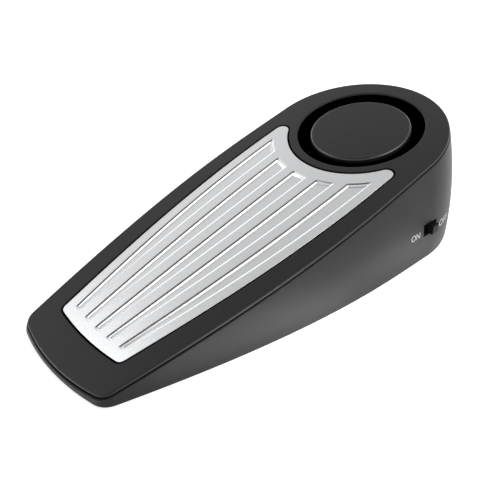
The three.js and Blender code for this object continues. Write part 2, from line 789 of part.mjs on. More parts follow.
// A pan head with its shank going up (1) or down (-1) from it, and a driver slot
const caseScrew = { radius: screwRadius, headRadius: screwHeadRadius, headHeight: screwHeadHeight };
const smallScrew = { radius: smallScrewRadius, headRadius: smallHeadRadius, headHeight: smallHeadHeight };

function screw({ radius, headRadius, headHeight }, x, y, headZ, up, length) {
  const span = (from, to) => [headZ + up * from, headZ + up * to].sort((a, b) => a - b);
  const head = post(x, y, ...span(0, headHeight), headRadius);
  const shank = post(x, y, ...span(headHeight / 2, length), radius);
  const slot = box(x - headRadius, x + headRadius, y - radius / 4, y + radius / 4,
    ...span(-headHeight, headHeight / 2));
  return head.add(shank).subtract(slot);
}

// Battery, with its two snap terminals facing the board
const standUp = new THREE.Matrix4().makeRotationY(-Math.PI / 2);

function endOn(points, x0, x1) {
  // a slab whose outline lies in the y-z plane; its shape is drawn as (z, y)
  return slab(points, -x1, -x0, standUp);
}

function battery() {
  const block = endOn(
    roundedRectangle(batteryBottomZ, batteryBottomZ + batteryHeight, -batteryWidth / 2, batteryWidth / 2,
      batteryRound),
    batteryFrontX, batteryRearX,
  );
  const terminals = [1, -1].map((side) => alongX(batteryFrontX - terminalHeight, batteryFrontX + joinDepth,
    side * terminalY, batteryMidZ, terminalRadius));
  return joinAll([block, ...terminals]);
}

function alongX(x0, x1, y, z, radius) {
  const geometry = new THREE.CylinderGeometry(radius, radius, x1 - x0, smallSides);
  geometry.rotateZ(Math.PI / 2);
  geometry.translate((x0 + x1) / 2, y, z);
  return toSolid(geometry);
}

function batterySnap() {
  const [lowZ, highZ] = [batteryMidZ - snapHeight / 2, batteryMidZ + snapHeight / 2];
  const halfWidth = batteryWidth / 2 - snapRound;
  const section = roundedRectangle(lowZ, highZ, -halfWidth, halfWidth, snapRound);
  const block = endOn(section, snapFrontX, snapRearX);
  const sockets = [1, -1].map((side) => alongX(batteryFrontX - terminalHeight - fit, snapRearX + overrun,
    side * terminalY, batteryMidZ, terminalRadius + fit));
  return cutAll(block, sockets);
}

// Circuit board and what stands on it
function circuitBoard() {
  const board = box(boardFrontX, boardRearX, -boardWidth / 2, boardWidth / 2, boardBottomZ, boardTopZ);
  const holes = boardScrewPlaces.map((p) => post(p.x, p.y, boardBottomZ - overrun, boardTopZ + overrun,
    smallPilotRadius));
  return cutAll(board, holes);
}

const plungerTravel = (triggerX - pinPlace.x) * pressAngle;
const partsZ = boardTopZ + bond;
const triggerTopZ = partsZ + triggerHeight;

function triggerSwitch() {
  const half = triggerSize / 2;
  const body = box(triggerX - half, triggerX + half, -half, half, partsZ, triggerTopZ);
  return body.subtract(post(triggerX, 0, triggerTopZ - plungerSeat - plungerTravel - fit,
    triggerTopZ + overrun, plungerRadius + fit));
}

function triggerPlunger() {
  return post(triggerX, 0, triggerTopZ - plungerSeat, triggerTopZ + plungerHeight, plungerRadius);
}

function driverCoil() {
  const flange = coilHeight / 8;
  const core = coilRadius * 3 / 4;
  return turned([
    [0, 0], [coilRadius, 0], [coilRadius, flange], [core, flange],
    [core, coilHeight - flange], [coilRadius, coilHeight - flange], [coilRadius, coilHeight], [0, coilHeight],
  ], new THREE.Matrix4().makeTranslation(onBoardX(coilAt), coilAt.y, partsZ), smallSides);
}

function capacitor(place) {
  const edge = capacitorRadius / 8;
  return turned([
    [0, 0], [capacitorRadius, 0], [capacitorRadius, capacitorHeight - edge],
    [capacitorRadius - edge, capacitorHeight], [0, capacitorHeight],
  ], new THREE.Matrix4().makeTranslation(onBoardX(place), place.y, partsZ), smallSides);
}

function controlChip() {
  const { length, width, height } = chipSize;
  const chipX = onBoardX(chipAt);
  const lift = height / 6;
  const body = box(chipX - length / 2, chipX + length / 2, chipAt.y - width / 2, chipAt.y + width / 2,
    partsZ + lift, partsZ + height);
  const legs = Array.from({ length: chipPins }, (_, i) => {
    const x = chipX + (i - (chipPins - 1) / 2) * pinPitch;
    return [1, -1].map((side) => {
      const [y0, y1] = onSide(side, width / 2 - joinDepth, width / 2 + pinReach);
      return box(x - pinWidth / 2, x + pinWidth / 2, chipAt.y + y0, chipAt.y + y1,
        partsZ, partsZ + height / 2);
    });
  }).flat();
  return joinAll([body, ...legs]);
}

function transistor() {
  const { length, width, height } = transistorSize;
  const x = onBoardX(transistorAt);
  return box(x - length / 2, x + length / 2, transistorAt.y - width / 2, transistorAt.y + width / 2,
    partsZ, partsZ + height);
}

// Slide switch
const switchBackY = switchInnerY + switchDepth;
const wallOuterY = -(innerHalfWidth(switchX, switchZ) + wall);
const knobX = switchX + knobTravel / 2;   // at OFF, the end next to the rear
const knobZ = switchZ - knobLow;

function switchBody() {
  const body = box(switchX - switchLength / 2, switchX + switchLength / 2, switchInnerY + fit, switchBackY,
    switchZ - switchHeight / 2, switchZ + switchHeight / 2);
  const track = box(knobX - knobTravel - knobWidth / 2 - fit, knobX + knobWidth / 2 + fit,
    switchInnerY - overrun, switchInnerY + switchDepth / 2 + fit,
    knobZ - knobHeight / 2 - fit, knobZ + knobHeight / 2 + fit);
  return body.subtract(track);
}

function switchKnob() {
  const outerY = wallOuterY - knobProud;
  const stem = box(knobX - knobWidth / 2, knobX + knobWidth / 2, outerY + knobCrown,
    switchInnerY + switchDepth / 2, knobZ - knobHeight / 2, knobZ + knobHeight / 2);
  const shape = new THREE.Shape();
  shape.moveTo(knobX - knobWidth / 2, outerY + knobCrown);
  shape.lineTo(knobX - knobWidth / 2 + knobCrown, outerY);
  shape.lineTo(knobX + knobWidth / 2 - knobCrown, outerY);
  shape.lineTo(knobX + knobWidth / 2, outerY + knobCrown);
  shape.lineTo(knobX + knobWidth / 2, outerY + 2 * knobCrown);
  shape.lineTo(knobX - knobWidth / 2, outerY + 2 * knobCrown);
  const crown = slab(shape.getPoints(), knobZ - knobHeight / 2, knobZ + knobHeight / 2);
  return stem.add(crown);
}

// Leads follow smooth curves through a few chosen points and end square to what they meet
function lead(points) {
  const curve = new THREE.CatmullRomCurve3(points.map(([x, y, z]) => new THREE.Vector3(x, y, z)), false,
    'centripetal');
  const section = new THREE.Shape();
  section.absarc(0, 0, leadRadius, 0, Math.PI * 2);
  const outlinePoints = tidyLoop(section.getPoints(leadSides / 2));
  const geometry = new THREE.ExtrudeGeometry(new THREE.Shape(outlinePoints), {
    steps: leadSteps, extrudePath: curve, bevelEnabled: false,
  });
  return toSolid(geometry);
}

// Where each lead meets the board: just inside its rear edge
const leadFootX = boardRearX - 3 * leadRadius;
const leadFootZ = boardTopZ + bond;
const leadFoot = (y) => [
  [leadFootX, y, leadFootZ + 4 * leadRadius],
  [leadFootX, y, leadFootZ],
];

function batteryLead(side) {
  const y = side * terminalY;
  const startX = snapFrontX - bond;
  return lead([
    [startX, y, batteryMidZ],
    [startX - 3 * leadRadius, y, batteryMidZ],
    [(startX + leadFootX) / 2, y, batteryMidZ],
    [leadFootX + 2 * leadRadius, y, (batteryMidZ + leadFootZ) / 2 + 2 * leadRadius],
    ...leadFoot(y),
  ]);
}

// The sounder's two leads drop off it, pass beside the battery and come back in behind its snap
function sounderLead({ u, v, onCeramic, beside, footY }) {
  const underW = brassTopW - brassThickness - (onCeramic ? ceramicThickness : 0) - bond;
  const start = slopePoint(u, v, underW);
  const below = slopePoint(u, v, retainerUnderW - fit - leadRadius);
  const sideY = openingHalfWidth + bayWall + beside;
  return lead([
    start.toArray(),
    below.toArray(),
    [below.x - 2 * leadRadius, (below.y + sideY) / 2, below.z - leadRadius],
    [below.x - capRadius / 2, sideY, batteryMidZ + batteryHeight / 4],
    [batteryFrontX + seatRadius, sideY, batteryMidZ],
    [snapFrontX, passY + beside, batteryMidZ],
    [leadFootX + seatRadius, footY, batteryMidZ - leadRadius],
    ...leadFoot(footY),
  ]);
}

// The switch's two leads leave its back and run outside the spring
function switchLead({ x, z, outside, footY }) {
  const startY = switchBackY + bond;
  const runY = -(springY + seatRadius + outside);
  return lead([
    [x, startY, z],
    [x, startY + 3 * leadRadius, z],
    [x - 4 * leadRadius, runY, z],
    [springX, runY, z],
    [leadFootX + seatRadius, (runY + footY) / 2, z],
    [leadFootX + leadRadius, footY, z - leadRadius],
    ...leadFoot(footY),
  ]);
}

// One hinge pin, the carrier that turns on it, and the metal plate bonded on top
function hingePin() {
  return crossBar(pinU, -pinDepth, -pinHalfLength, pinHalfLength, pinRadius);
}

// Half the plate's width at a place, found on its side curve by halving the interval
function halfPlateWidth(u) {
  const side = plateSide();
  let [low, high] = [0, 1];
  for (let i = 0; i < halvings; i += 1) {
    const middle = (low + high) / 2;
    if (side.getPoint(middle).x < u) low = middle;
    else high = middle;
  }
  return -side.getPoint(low).y;
}

// Flute k runs between two lines that share the plate's width evenly
function fluteEdges(k, u) {
  const half = halfPlateWidth(u) - fluteMargin;
  const width = (2 * half - (fluteCount - 1) * ribWidth) / fluteCount;
  const low = -half + k * (width + ribWidth);
  return [low, low + width];
}

function fluteFrontU(v) {
  const bow = (plateFrontHalf * plateFrontHalf + plateSagitta * plateSagitta) / (2 * plateSagitta);
  return plateFrontU + bow - Math.sqrt(bow * bow - v * v) + fluteFrontMargin;
}

function fluteRearU(v) {
  const radius = plateArcRadius + fluteRearMargin;
  return -Math.sqrt(radius * radius - v * v);
}

function fluteLoop(k, inset) {
  const side = (which, from, to) => Array.from({ length: fluteSteps + 1 }, (_, i) => {
    const u = from + (to - from) * i / fluteSteps;
    return new THREE.Vector2(u, fluteEdges(k, u)[which]);
  });
  const frontMid = fluteEdges(k, plateFrontU + fluteFrontMargin);
  const frontU = fluteFrontU((frontMid[0] + frontMid[1]) / 2);
  const rearGuess = -plateArcRadius - fluteRearMargin;
  const rearOf = (which) => fluteRearU(fluteEdges(k, rearGuess)[which]);
  const low = side(0, frontU + fluteEndRadius, rearOf(0));
  const high = side(1, rearOf(1), frontU + fluteEndRadius);
  const [a, b] = fluteEdges(k, frontU + fluteEndRadius);
  const nose = new THREE.CubicBezierCurve(
    new THREE.Vector2(frontU + fluteEndRadius, b), new THREE.Vector2(frontU - fluteEndRadius / 4, b),
    new THREE.Vector2(frontU - fluteEndRadius / 4, a), new THREE.Vector2(frontU + fluteEndRadius, a),
  ).getPoints(fluteNoseSteps);
  const rearMidV = (low[fluteSteps].y + high[0].y) / 2;
  const rearMid = new THREE.Vector2(fluteRearU(rearMidV), rearMidV);
  return offsetLoop(tidyLoop([...low, rearMid, ...high, ...nose]), -inset);
}

function flutePocket(k) {
  const ring = (inset, w) => fluteLoop(k, inset).map((p) => new THREE.Vector3(p.x, p.y, w));
  const floorW = plateTopW - fluteDepth;
  const widening = fluteDraft / fluteDepth * fit;
  return loft([ring(fluteDraft, floorW), ring(0, plateTopW), ring(-widening, plateTopW + fit)]);
}

function pressurePlate() {
  const body = slab(plateLoop, plateUnderW, plateTopW);
  return cutAll(body, Array.from({ length: fluteCount }, (_, k) => flutePocket(k)));
}

function plateCarrier() {
  const tray = slab(offsetLoop(plateLoop, -carrierInset), carrierUnderW, carrierTopW);
  const knuckleRadius = pinRadius + fit + knuckleWall;
  const knuckles = [1, -1].map((side) => {
    const span = onSide(side, knuckleY - knuckleLength / 2, knuckleY + knuckleLength / 2);
    return crossBar(pinU, -pinDepth, ...span, knuckleRadius)
      .add(box(pinU - knuckleRadius, pinU + knuckleRadius, ...span, -pinDepth, carrierUnderW + joinDepth))
      .subtract(slabAbove(carrierTopW));
  });
  const bore = crossBar(pinU, -pinDepth, -pinHalfLength - overrun, pinHalfLength + overrun, pinRadius + fit);
  const earRoom = [1, -1].map((side) => {
    const y = side * earY;
    const reach = earRadius + 2 * fit;
    return box(pinU - reach - fit, pinU + reach + fit, y - earThickness / 2 - fit, y + earThickness / 2 + fit,
      -pinDepth - reach, overrun);
  });
  const hooks = hookStations.flatMap((u) => [1, -1].map((side) => {
    const half = halfPlateWidth(u);
    const span = onSide(side, half - hookReach - carrierInset, half + plateGap + hookReach);
    const topW = -coverThickness - fit;
    return box(u - hookLength / 2, u + hookLength / 2, ...span, topW - hookThickness, topW);
  }));
  // level seats for the springs and a leg for the trigger switch
  const flatBottom = (x, y, radius, z) => post(x, y, z, faceHeight * 2, radius, levelMatrix)
    .subtract(slabAbove(carrierTopW));
  const seats = [1, -1].map((side) => flatBottom(springX, side * springY, seatRadius, springTopZ + fit));
  const leg = flatBottom(triggerX, 0, plungerRadius, triggerTopZ + plungerHeight + fit);
  return cutAll(joinAll([tray, ...knuckles, ...hooks, ...seats, leg]), [bore, ...earRoom]);
}

function slabAbove(w) {
  const reach = rearRadius - tipX;
  return box(-reach, reach, -reach, reach, w, w + reach);
}

// Return spring: one unbroken tube that winds up between two flat ends
function springCurve() {
  const rise = springTopZ - springBottomZ - springWire;
  return (t) => {
    const angle = t * springCurls * Math.PI * 2;
    return new THREE.Vector3(
      springRadius * Math.cos(angle), springRadius * Math.sin(angle),
      springBottomZ + springWire / 2 + rise * t,
    );
  };
}

function springTube(x, y) {
  const at = springCurve();
  const count = springCurls * stepsPerCurl;
  const centres = Array.from({ length: count + 1 }, (_, i) => at(i / count));
  const ahead = at(1 / count).sub(at(0)).normalize();
  const behind = at(1).sub(at(1 - 1 / count)).normalize();
  centres.unshift(centres[0].clone().addScaledVector(ahead, -springWire));
  centres.push(centres[centres.length - 1].clone().addScaledVector(behind, springWire));
  const gap = leastGap(centres);
  const rings = centres.map((centre, i) => {
    const tangent = centres[Math.min(i + 1, centres.length - 1)].clone()
      .sub(centres[Math.max(i - 1, 0)]).normalize();
    const outward = new THREE.Vector3(centre.x, centre.y, 0).normalize();
    const across = new THREE.Vector3().crossVectors(tangent, outward).normalize();
    const normal = new THREE.Vector3().crossVectors(across, tangent).normalize();
    return Array.from({ length: springSides }, (_, s) => {
      const angle = s / springSides * Math.PI * 2;
      return centre.clone().addScaledVector(normal, Math.cos(angle) * springWire / 2)
        .addScaledVector(across, Math.sin(angle) * springWire / 2);
    });
  });
  return { solid: tubeSolid(rings).translate([x, y, 0]), gap };
}

// Closed tube through rings of points, with a fan at each end
function tubeSolid(rings) {
  const sides = rings[0].length;
  const positions = rings.flat().flatMap((p) => [p.x, p.y, p.z]);
  const index = [];
  for (let ring = 0; ring < rings.length - 1; ring += 1) {
    for (let s = 0; s < sides; s += 1) {
      const a = ring * sides + s;
      const b = ring * sides + (s + 1) % sides;
      index.push(a, b, b + sides);
      index.push(a, b + sides, a + sides);
    }
  }
  const last = (rings.length - 1) * sides;
  for (let s = 1; s < sides - 1; s += 1) {
    index.push(0, s + 1, s);
    index.push(last, last + s, last + s + 1);
  }
  const geometry = new THREE.BufferGeometry();
  geometry.setAttribute('position', new THREE.Float32BufferAttribute(positions, 3));
  geometry.setIndex(index);
  return toSolid(geometry);
}

// Smallest distance between turns, surface to surface
function leastGap(centres) {
  let least = Infinity;
  centres.forEach((a, i) => {
    centres.slice(i + stepsPerCurl - 2).forEach((b) => {
      least = Math.min(least, a.distanceTo(b) - springWire);
    });
  });
  return least;
}

// Siren
function sirenCap() {
  const top = -capDrop;
  const under = top - capThickness;
  const cap = turned([
    [0, under], [capRadius - capFillet / 2, under], [capRadius, under + capFillet / 2],
    ...arcPoints(capRadius - capFillet, top - capFillet, capFillet, 0, Math.PI / 2, cornerSteps)
      .map((p) => [p.x, p.y]),
    [0, top],
  ]);
  const legs = Array.from({ length: capLegCount }, (_, i) => {
    const angle = (i + 0.5) / capLegCount * Math.PI * 2;
    return post(capLegCircle * Math.cos(angle), capLegCircle * Math.sin(angle), wellFloorW + fit,
      under + joinDepth, capLegRadius);
  });
  return joinAll([cap, ...legs]);
}

function sirenBase() {
  const outer = wellRadius + wellWall;
  const disc = post(0, 0, soundUnderW, wellFloorW, outer, undefined, roundSides);
  const spigotOuter = wellRadius - fit;
  const rootW = wellFloorW - joinDepth;
  const spigotInner = spigotOuter - spigotWall;
  const spigot = post(0, 0, rootW, wellFloorW + spigotHeight, spigotOuter, undefined, roundSides)
    .subtract(post(0, 0, rootW, wellFloorW + 2 * spigotHeight, spigotInner, undefined, roundSides));
  const ears = earPlaces.map((p) => {
    const angle = Math.atan2(p.v, p.u);
    const turn = new THREE.Matrix4().makeRotationZ(angle);
    return post(p.u, p.v, soundUnderW, wellFloorW, sirenEarRadius)
      .add(box(outer / 2, earScrewCircle, -sirenEarRadius, sirenEarRadius, soundUnderW, wellFloorW, turn));
  });
  const holes = earPlaces.map((p) => (
    post(p.u, p.v, soundUnderW - overrun, wellFloorW + overrun, smallPilotRadius)
  ));
  const centreHole = post(0, 0, soundUnderW - overrun, wellFloorW + overrun, soundHoleRadius);
  const slots = Array.from({ length: soundSlotCount }, (_, i) => soundSlot(i));
  const pillarRoom = pillars.map((p) => post(p.x, p.y, 0, 2 * faceHeight, bossRadius + fit, levelMatrix));
  return cutAll(joinAll([disc, spigot, ...ears]), [...holes, centreHole, ...slots, ...pillarRoom]);
}

// Curved slot under the open ring round the cap
function soundSlot(i) {
  const inner = capRadius + capFillet;
  const outer = wellRadius - fit - spigotWall - fit;
  const turn = Math.PI * 2 / soundSlotCount;
  const from = i * turn;
  const to = from + soundSlotShare * turn;
  const points = [
    ...arcPoints(0, 0, outer, from, to, arcSteps),
    ...arcPoints(0, 0, inner, to, from, arcSteps),
  ];
  return slab(points, soundUnderW - overrun, wellFloorW + overrun);
}

function piezoElement() {
  const under = brassTopW - brassThickness;
  return turned([
    [0, under - ceramicThickness], [ceramicRadius, under - ceramicThickness], [ceramicRadius, under],
    [brassRadius, under], [brassRadius, brassTopW], [0, brassTopW],
  ]);
}

function piezoRetainer() {
  const inner = retainerRadius - retainerWall;
  return turned([
    [inner - retainerLip, retainerUnderW], [retainerRadius, retainerUnderW], [retainerRadius, brassTopW],
    [inner, brassTopW], [inner, retainerUnderW + retainerLipThickness],
    [inner - retainerLip, retainerUnderW + retainerLipThickness], [inner - retainerLip, retainerUnderW],
  ]);
}

// Assembly
const level = new THREE.Group();
const slope = new THREE.Group();
slope.position.z = faceHeight;
slope.rotation.y = -slopeAngle;

level.add(node('main_housing', mainHousing(), blackPlastic()));
level.add(node('top_cover', topCover(), blackPlastic()));
level.add(node('base_plate', basePlate(), blackPlastic()));
level.add(node('battery_door', batteryDoor(), blackPlastic()));
level.add(node('foot_front', foot(frontFootX, 0, frontFoot), rubber()));
level.add(node('foot_mid_left', foot(midFootX, midFootY, midFoot), rubber()));
level.add(node('foot_mid_right', foot(midFootX, -midFootY, midFoot), rubber()));
level.add(node('foot_rear_left', foot(rearFootX, rearFootY, rearFoot), rubber()));
level.add(node('foot_rear_right', foot(rearFootX, -rearFootY, rearFoot), rubber()));

slope.add(node('pressure_plate', pressurePlate(), satinMetal()));
slope.add(node('plate_carrier', plateCarrier(), darkPlastic()));
slope.add(node('hinge_pin', hingePin(), steel()));
const springs = [1, -1].map((side) => springTube(springX, side * springY));
springs.forEach(({ solid, gap }, i) => {
  level.add(node(`return_spring_${['left', 'right'][i]}`, solid, steel()));
  console.log(`return spring least gap between turns ${gap.toFixed(2)} mm`);
});

slope.add(node('siren_cap', sirenCap(), blackPlastic()));
slope.add(node('siren_base', sirenBase(), darkPlastic()));
slope.add(node('piezo_element', piezoElement(), metal(0xc9a24a, 0.35)));
slope.add(node('piezo_retainer', piezoRetainer(), darkPlastic()));

level.add(node('circuit_board', circuitBoard(), plastic(0x1f5a34, 0.5)));
level.add(node('trigger_switch', triggerSwitch(), darkPlastic()));
level.add(node('trigger_plunger', triggerPlunger(), plastic(0xb8352a, 0.5)));
level.add(node('driver_coil', driverCoil(), plastic(0x4a3a2c, 0.6)));
capacitorsAt.forEach((place, i) => {
  level.add(node(`capacitor_${i + 1}`, capacitor(place), plastic(0x22304a, 0.4)));
});
level.add(node('control_chip', controlChip(), darkPlastic()));
level.add(node('transistor', transistor(), darkPlastic()));
level.add(node('switch_body', switchBody(), steel()));
level.add(node('switch_knob', switchKnob(), darkPlastic()));
level.add(node('battery', battery(), plastic(0x2b2d30, 0.4)));
level.add(node('battery_snap', batterySnap(), darkPlastic()));
const redLead = () => plastic(0xb02020, 0.5);
const blackLead = () => plastic(0x151515, 0.5);
level.add(node('battery_lead_red', batteryLead(1), redLead()));
level.add(node('battery_lead_black', batteryLead(-1), blackLead()));
level.add(node('sounder_lead_red', sounderLead(sounderLeads.red), redLead()));
level.add(node('sounder_lead_black', sounderLead(sounderLeads.black), blackLead()));
level.add(node('switch_lead_red', switchLead(switchLeads.red), redLead()));
level.add(node('switch_lead_black', switchLead(switchLeads.black), blackLead()));

[...pillars, ...wallBosses].forEach((p, i) => {
  const body = screw(caseScrew, p.x, p.y, caseBottomZ, 1, caseScrewLength - fit);
  level.add(node(`case_screw_${i + 1}`, body, steel()));
});
boardScrewPlaces.forEach((p, i) => {
  const body = screw(smallScrew, p.x, p.y, boardTopZ + smallHeadHeight, -1, smallScrewLength);
  level.add(node(`board_screw_${i + 1}`, body, steel()));
});
earPlaces.forEach((p, i) => {
  const body = screw(smallScrew, p.u, p.v, soundUnderW - smallHeadHeight, 1, smallScrewLength);
  slope.add(node(`siren_screw_${i + 1}`, body, steel()));
});

const frontX = tipX - flare(faceZ(tipX) - caseBottomZ);
const rearX = rearCentreX + rearRadius + flareOut;
const group = new THREE.Group();
group.add(level, slope);
group.position.x = -(frontX + rearX) / 2;

export default group;
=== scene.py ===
import math
import bpy
import numpy as np
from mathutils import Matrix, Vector
from mathutils.geometry import tessellate_polygon
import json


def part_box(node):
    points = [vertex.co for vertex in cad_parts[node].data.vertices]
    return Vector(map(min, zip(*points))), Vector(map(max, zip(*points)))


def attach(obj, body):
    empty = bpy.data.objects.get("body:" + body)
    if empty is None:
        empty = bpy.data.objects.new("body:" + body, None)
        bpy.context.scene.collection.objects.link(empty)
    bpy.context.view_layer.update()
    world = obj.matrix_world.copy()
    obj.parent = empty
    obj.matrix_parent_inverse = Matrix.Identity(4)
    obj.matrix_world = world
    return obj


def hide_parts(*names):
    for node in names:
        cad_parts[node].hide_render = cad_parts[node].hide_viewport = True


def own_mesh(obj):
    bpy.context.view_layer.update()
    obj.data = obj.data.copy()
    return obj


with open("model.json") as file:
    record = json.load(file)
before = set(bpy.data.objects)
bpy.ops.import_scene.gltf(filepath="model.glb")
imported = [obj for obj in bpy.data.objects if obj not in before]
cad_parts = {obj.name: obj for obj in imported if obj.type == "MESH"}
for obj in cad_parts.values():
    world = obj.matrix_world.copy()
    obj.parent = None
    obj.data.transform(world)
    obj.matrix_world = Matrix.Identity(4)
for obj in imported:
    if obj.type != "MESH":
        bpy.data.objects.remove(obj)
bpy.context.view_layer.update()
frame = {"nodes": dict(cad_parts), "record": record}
nodes = frame["nodes"]

# Millimetres throughout, until a piece is built. x = 0 is the siren's axis and z = 0 the floor.
# Slope coordinates are u along the top face, v across it and w square to it, with w = 0 on the face.
mm = 0.001
wedge = dict(
    slopeDegrees=14.04, faceHeight=31.5964, footProud=0.8,
    front=-112.95, sagitta=2.74, frontHalf=18.98, corner=4.5,
    rearCentreX=-3.97, rearRadius=29.37, sideShares=(0.563, 1.19, 0.2), cornerShares=(0.8, 1 / 14),
    flareDepth=30.5, flareOut=4.26, wall=2.0, seamW=-1.05, flangeW=-0.7, rearPoints=1200, bendWeight=6.0,
)
slope = math.radians(wedge["slopeDegrees"])
slopeRise = math.tan(slope)


def faceZ(x):
    # the top face's height at x
    return wedge["faceHeight"] + slopeRise * x


def flare(depth):
    # how far the wall leans out: a parabola in the depth under the top face
    share = depth / wedge["flareDepth"]
    return wedge["flareOut"] * (2 * share - share * share)


def fromSlope(u, v, w):
    # slope coordinates turned about y by the slope's angle and lifted to the face's height
    u, v, w = np.broadcast_arrays(u, v, w)
    x = u * math.cos(slope) - w * math.sin(slope)
    z = wedge["faceHeight"] + u * math.sin(slope) + w * math.cos(slope)
    return np.stack([x, v, z], -1)


faceUp = fromSlope(0, 0, 1) - fromSlope(0, 0, 0)
caseHeight = faceZ(wedge["front"]) - wedge["footProud"]
caseFrontX = wedge["front"] - flare(caseHeight)
caseRearX = wedge["rearCentreX"] + wedge["rearRadius"] + wedge["flareOut"]
frameShift = np.array([-(caseFrontX + caseRearX) / 2, 0, 0])


# Curves in the plane, as arrays of points

def bezier(handles, t):
    # de Casteljau: neighbouring handles are mixed by t until one point is left
    layer = np.asarray(handles, float)[:, None, :] * np.ones((1, len(t), 1))
    while len(layer) > 1:
        layer = layer[:-1] * (1 - t)[:, None] + layer[1:] * t[:, None]
    return layer[0]


def sideHandles(start, end, shares):
    # leaves the front corner by shares of its own length and widening, and ends straight along x
    along, across, endShare = shares
    length, widening = end[0] - start[0], start[1] - end[1]
    lead = (start[0] + along * length, start[1] - across * widening)
    return [start, lead, (end[0] - endShare * length, end[1]), end]


def crossing(a, b, directionA, directionB):
    # where the line from a along directionA meets the line from b along directionB
    steps = np.linalg.solve(np.stack([directionA, -directionB], 1), b - a)
    return a + steps[0] * directionA


def bowRadius(shape):
    # the radius of the front's arc, from half its width and how far it stands out in the middle
    return (shape["frontHalf"] ** 2 + shape["sagitta"] ** 2) / (2 * shape["sagitta"])


def bowedFront(shape, end, count=600, bendCount=200):
    # an arc for the front edge and a Bezier for the side, joined by a bend whose handle is where the tangents
    # at its two ends cross; the side's handles are handed back too
    side = sideHandles((shape["front"] + shape["sagitta"], -shape["frontHalf"]), end, shape["sideShares"])
    bow = bowRadius(shape)
    angles = math.pi + math.asin(shape["frontHalf"] / bow) * np.linspace(0, 1, count)
    nose = np.stack([shape["front"] + bow + bow * np.cos(angles), bow * np.sin(angles)], 1)
    flank = bezier(side, np.linspace(0, 1, 4 * count))
    vertex = nose[-1]
    shareBack, shareAhead = shape["cornerShares"]
    back = nose[int(shareBack * (count - 1))] - vertex
    ahead = flank[int(shareAhead * (4 * count - 1))] - vertex
    cosine = back @ ahead / np.linalg.norm(back) / np.linalg.norm(ahead)
    reach = shape["corner"] / math.tan(math.acos(cosine) / 2)
    nose = nose[np.linalg.norm(nose - vertex, axis=1) > reach]
    flank = flank[np.linalg.norm(flank - vertex, axis=1) > reach]
    handle = crossing(nose[-1], flank[0], nose[-1] - nose[-2], flank[1] - flank[0])
    middle = bezier([nose[-1], handle, flank[0]], np.linspace(0, 1, bendCount))
    return np.concatenate([nose, middle[1:-1], flank]), side


def arc(centreX, centreY, radius, start, stop, count=200):
    # points evenly turned about the centre
    angles = np.linspace(start, stop, count)
    return np.stack([centreX + radius * np.cos(angles), centreY + radius * np.sin(angles)], 1)


def planeNormals(path, closed):
    # the tangent from each point's neighbours, turned a quarter turn outwards
    if closed:
        along = np.roll(path, -1, 0) - np.roll(path, 1, 0)
    else:
        along = np.gradient(path, axis=0)
    along /= np.linalg.norm(along, axis=1)[:, None]
    return np.stack([along[:, 1], -along[:, 0]], 1)


def spacedHalf(half, counts, knots, bendWeight, leastStep=1e-6):
    # points spread evenly by length plus a weight for turning, with a point on each knot
    half = half[np.append(True, np.linalg.norm(np.diff(half, axis=0), axis=1) > leastStep)]
    step = np.diff(half, axis=0)
    length = np.linalg.norm(step, axis=1)
    heading = np.unwrap(np.arctan2(step[:, 1], step[:, 0]))
    turning = np.abs(np.gradient(heading))
    travel = np.append(0, np.cumsum(length + bendWeight * turning))
    stops = [0, *[np.interp(knot, half[:, 0], travel) for knot in knots], travel[-1]]
    wanted = [np.linspace(a, b, n, endpoint=False) for a, b, n in zip(stops, stops[1:], counts)]
    wanted = np.append(np.concatenate(wanted), travel[-1])
    return np.stack([np.interp(wanted, travel, half[:, 0]), np.interp(wanted, travel, half[:, 1])], 1)


def mirroredLoop(half):
    # the half on the -y side, front to rear, then the same points on the +y side back to the front
    return np.concatenate([half, half[-2:0:-1] * [1, -1]])


def mixAt(p, q, tp, tq, t):
    # the point at t on the line that passes p at tp and q at tq
    return ((tq - t) * p + (t - tp) * q) / (tq - tp)


def smoothPath(handles, count, perSpan=40):
    # a Catmull-Rom curve whose knots are the square roots of its chords, then points spread evenly by length
    handles = np.asarray(handles, float)
    whole = np.concatenate([2 * handles[:1] - handles[1:2], handles, 2 * handles[-1:] - handles[-2:-1]])
    a, b, c, d = (whole[k:k + len(handles) - 1, None] for k in range(4))
    ab, bc, cd = (np.linalg.norm(q - p, axis=-1, keepdims=True) ** 0.5 for p, q in ((a, b), (b, c), (c, d)))
    tb, tc, td = ab, ab + bc, ab + bc + cd
    t = tb + bc * np.linspace(0, 1, perSpan, endpoint=False)[None, :, None]
    near = mixAt(b, c, tb, tc, t)
    first = mixAt(mixAt(a, b, 0, tb, t), near, 0, tc, t)
    second = mixAt(near, mixAt(c, d, tc, td, t), tb, td, t)
    path = np.concatenate([mixAt(first, second, tb, tc, t).reshape(-1, 3), handles[-1:]])
    travel = np.append(0, np.cumsum(np.linalg.norm(np.diff(path, axis=0), axis=1)))
    wanted = np.linspace(0, travel[-1], count)
    return np.stack([np.interp(wanted, travel, path[:, k]) for k in range(3)], 1)


def roundedLoop(halfX, halfY, radius, perCorner=6):
    # a quarter turn at each corner, anticlockwise
    turn = np.linspace(0, math.pi / 2, perCorner)
    corners = [(1, 1), (-1, 1), (-1, -1), (1, -1)]
    return np.concatenate([
        np.stack([sx * (halfX - radius) + radius * np.cos(turn + k * math.pi / 2),
                  sy * (halfY - radius) + radius * np.sin(turn + k * math.pi / 2)], 1)
        for k, (sx, sy) in enumerate(corners)])


# Surfaces: each patch is (points, faces, normals). A piece welds its patches and keeps their own shading.

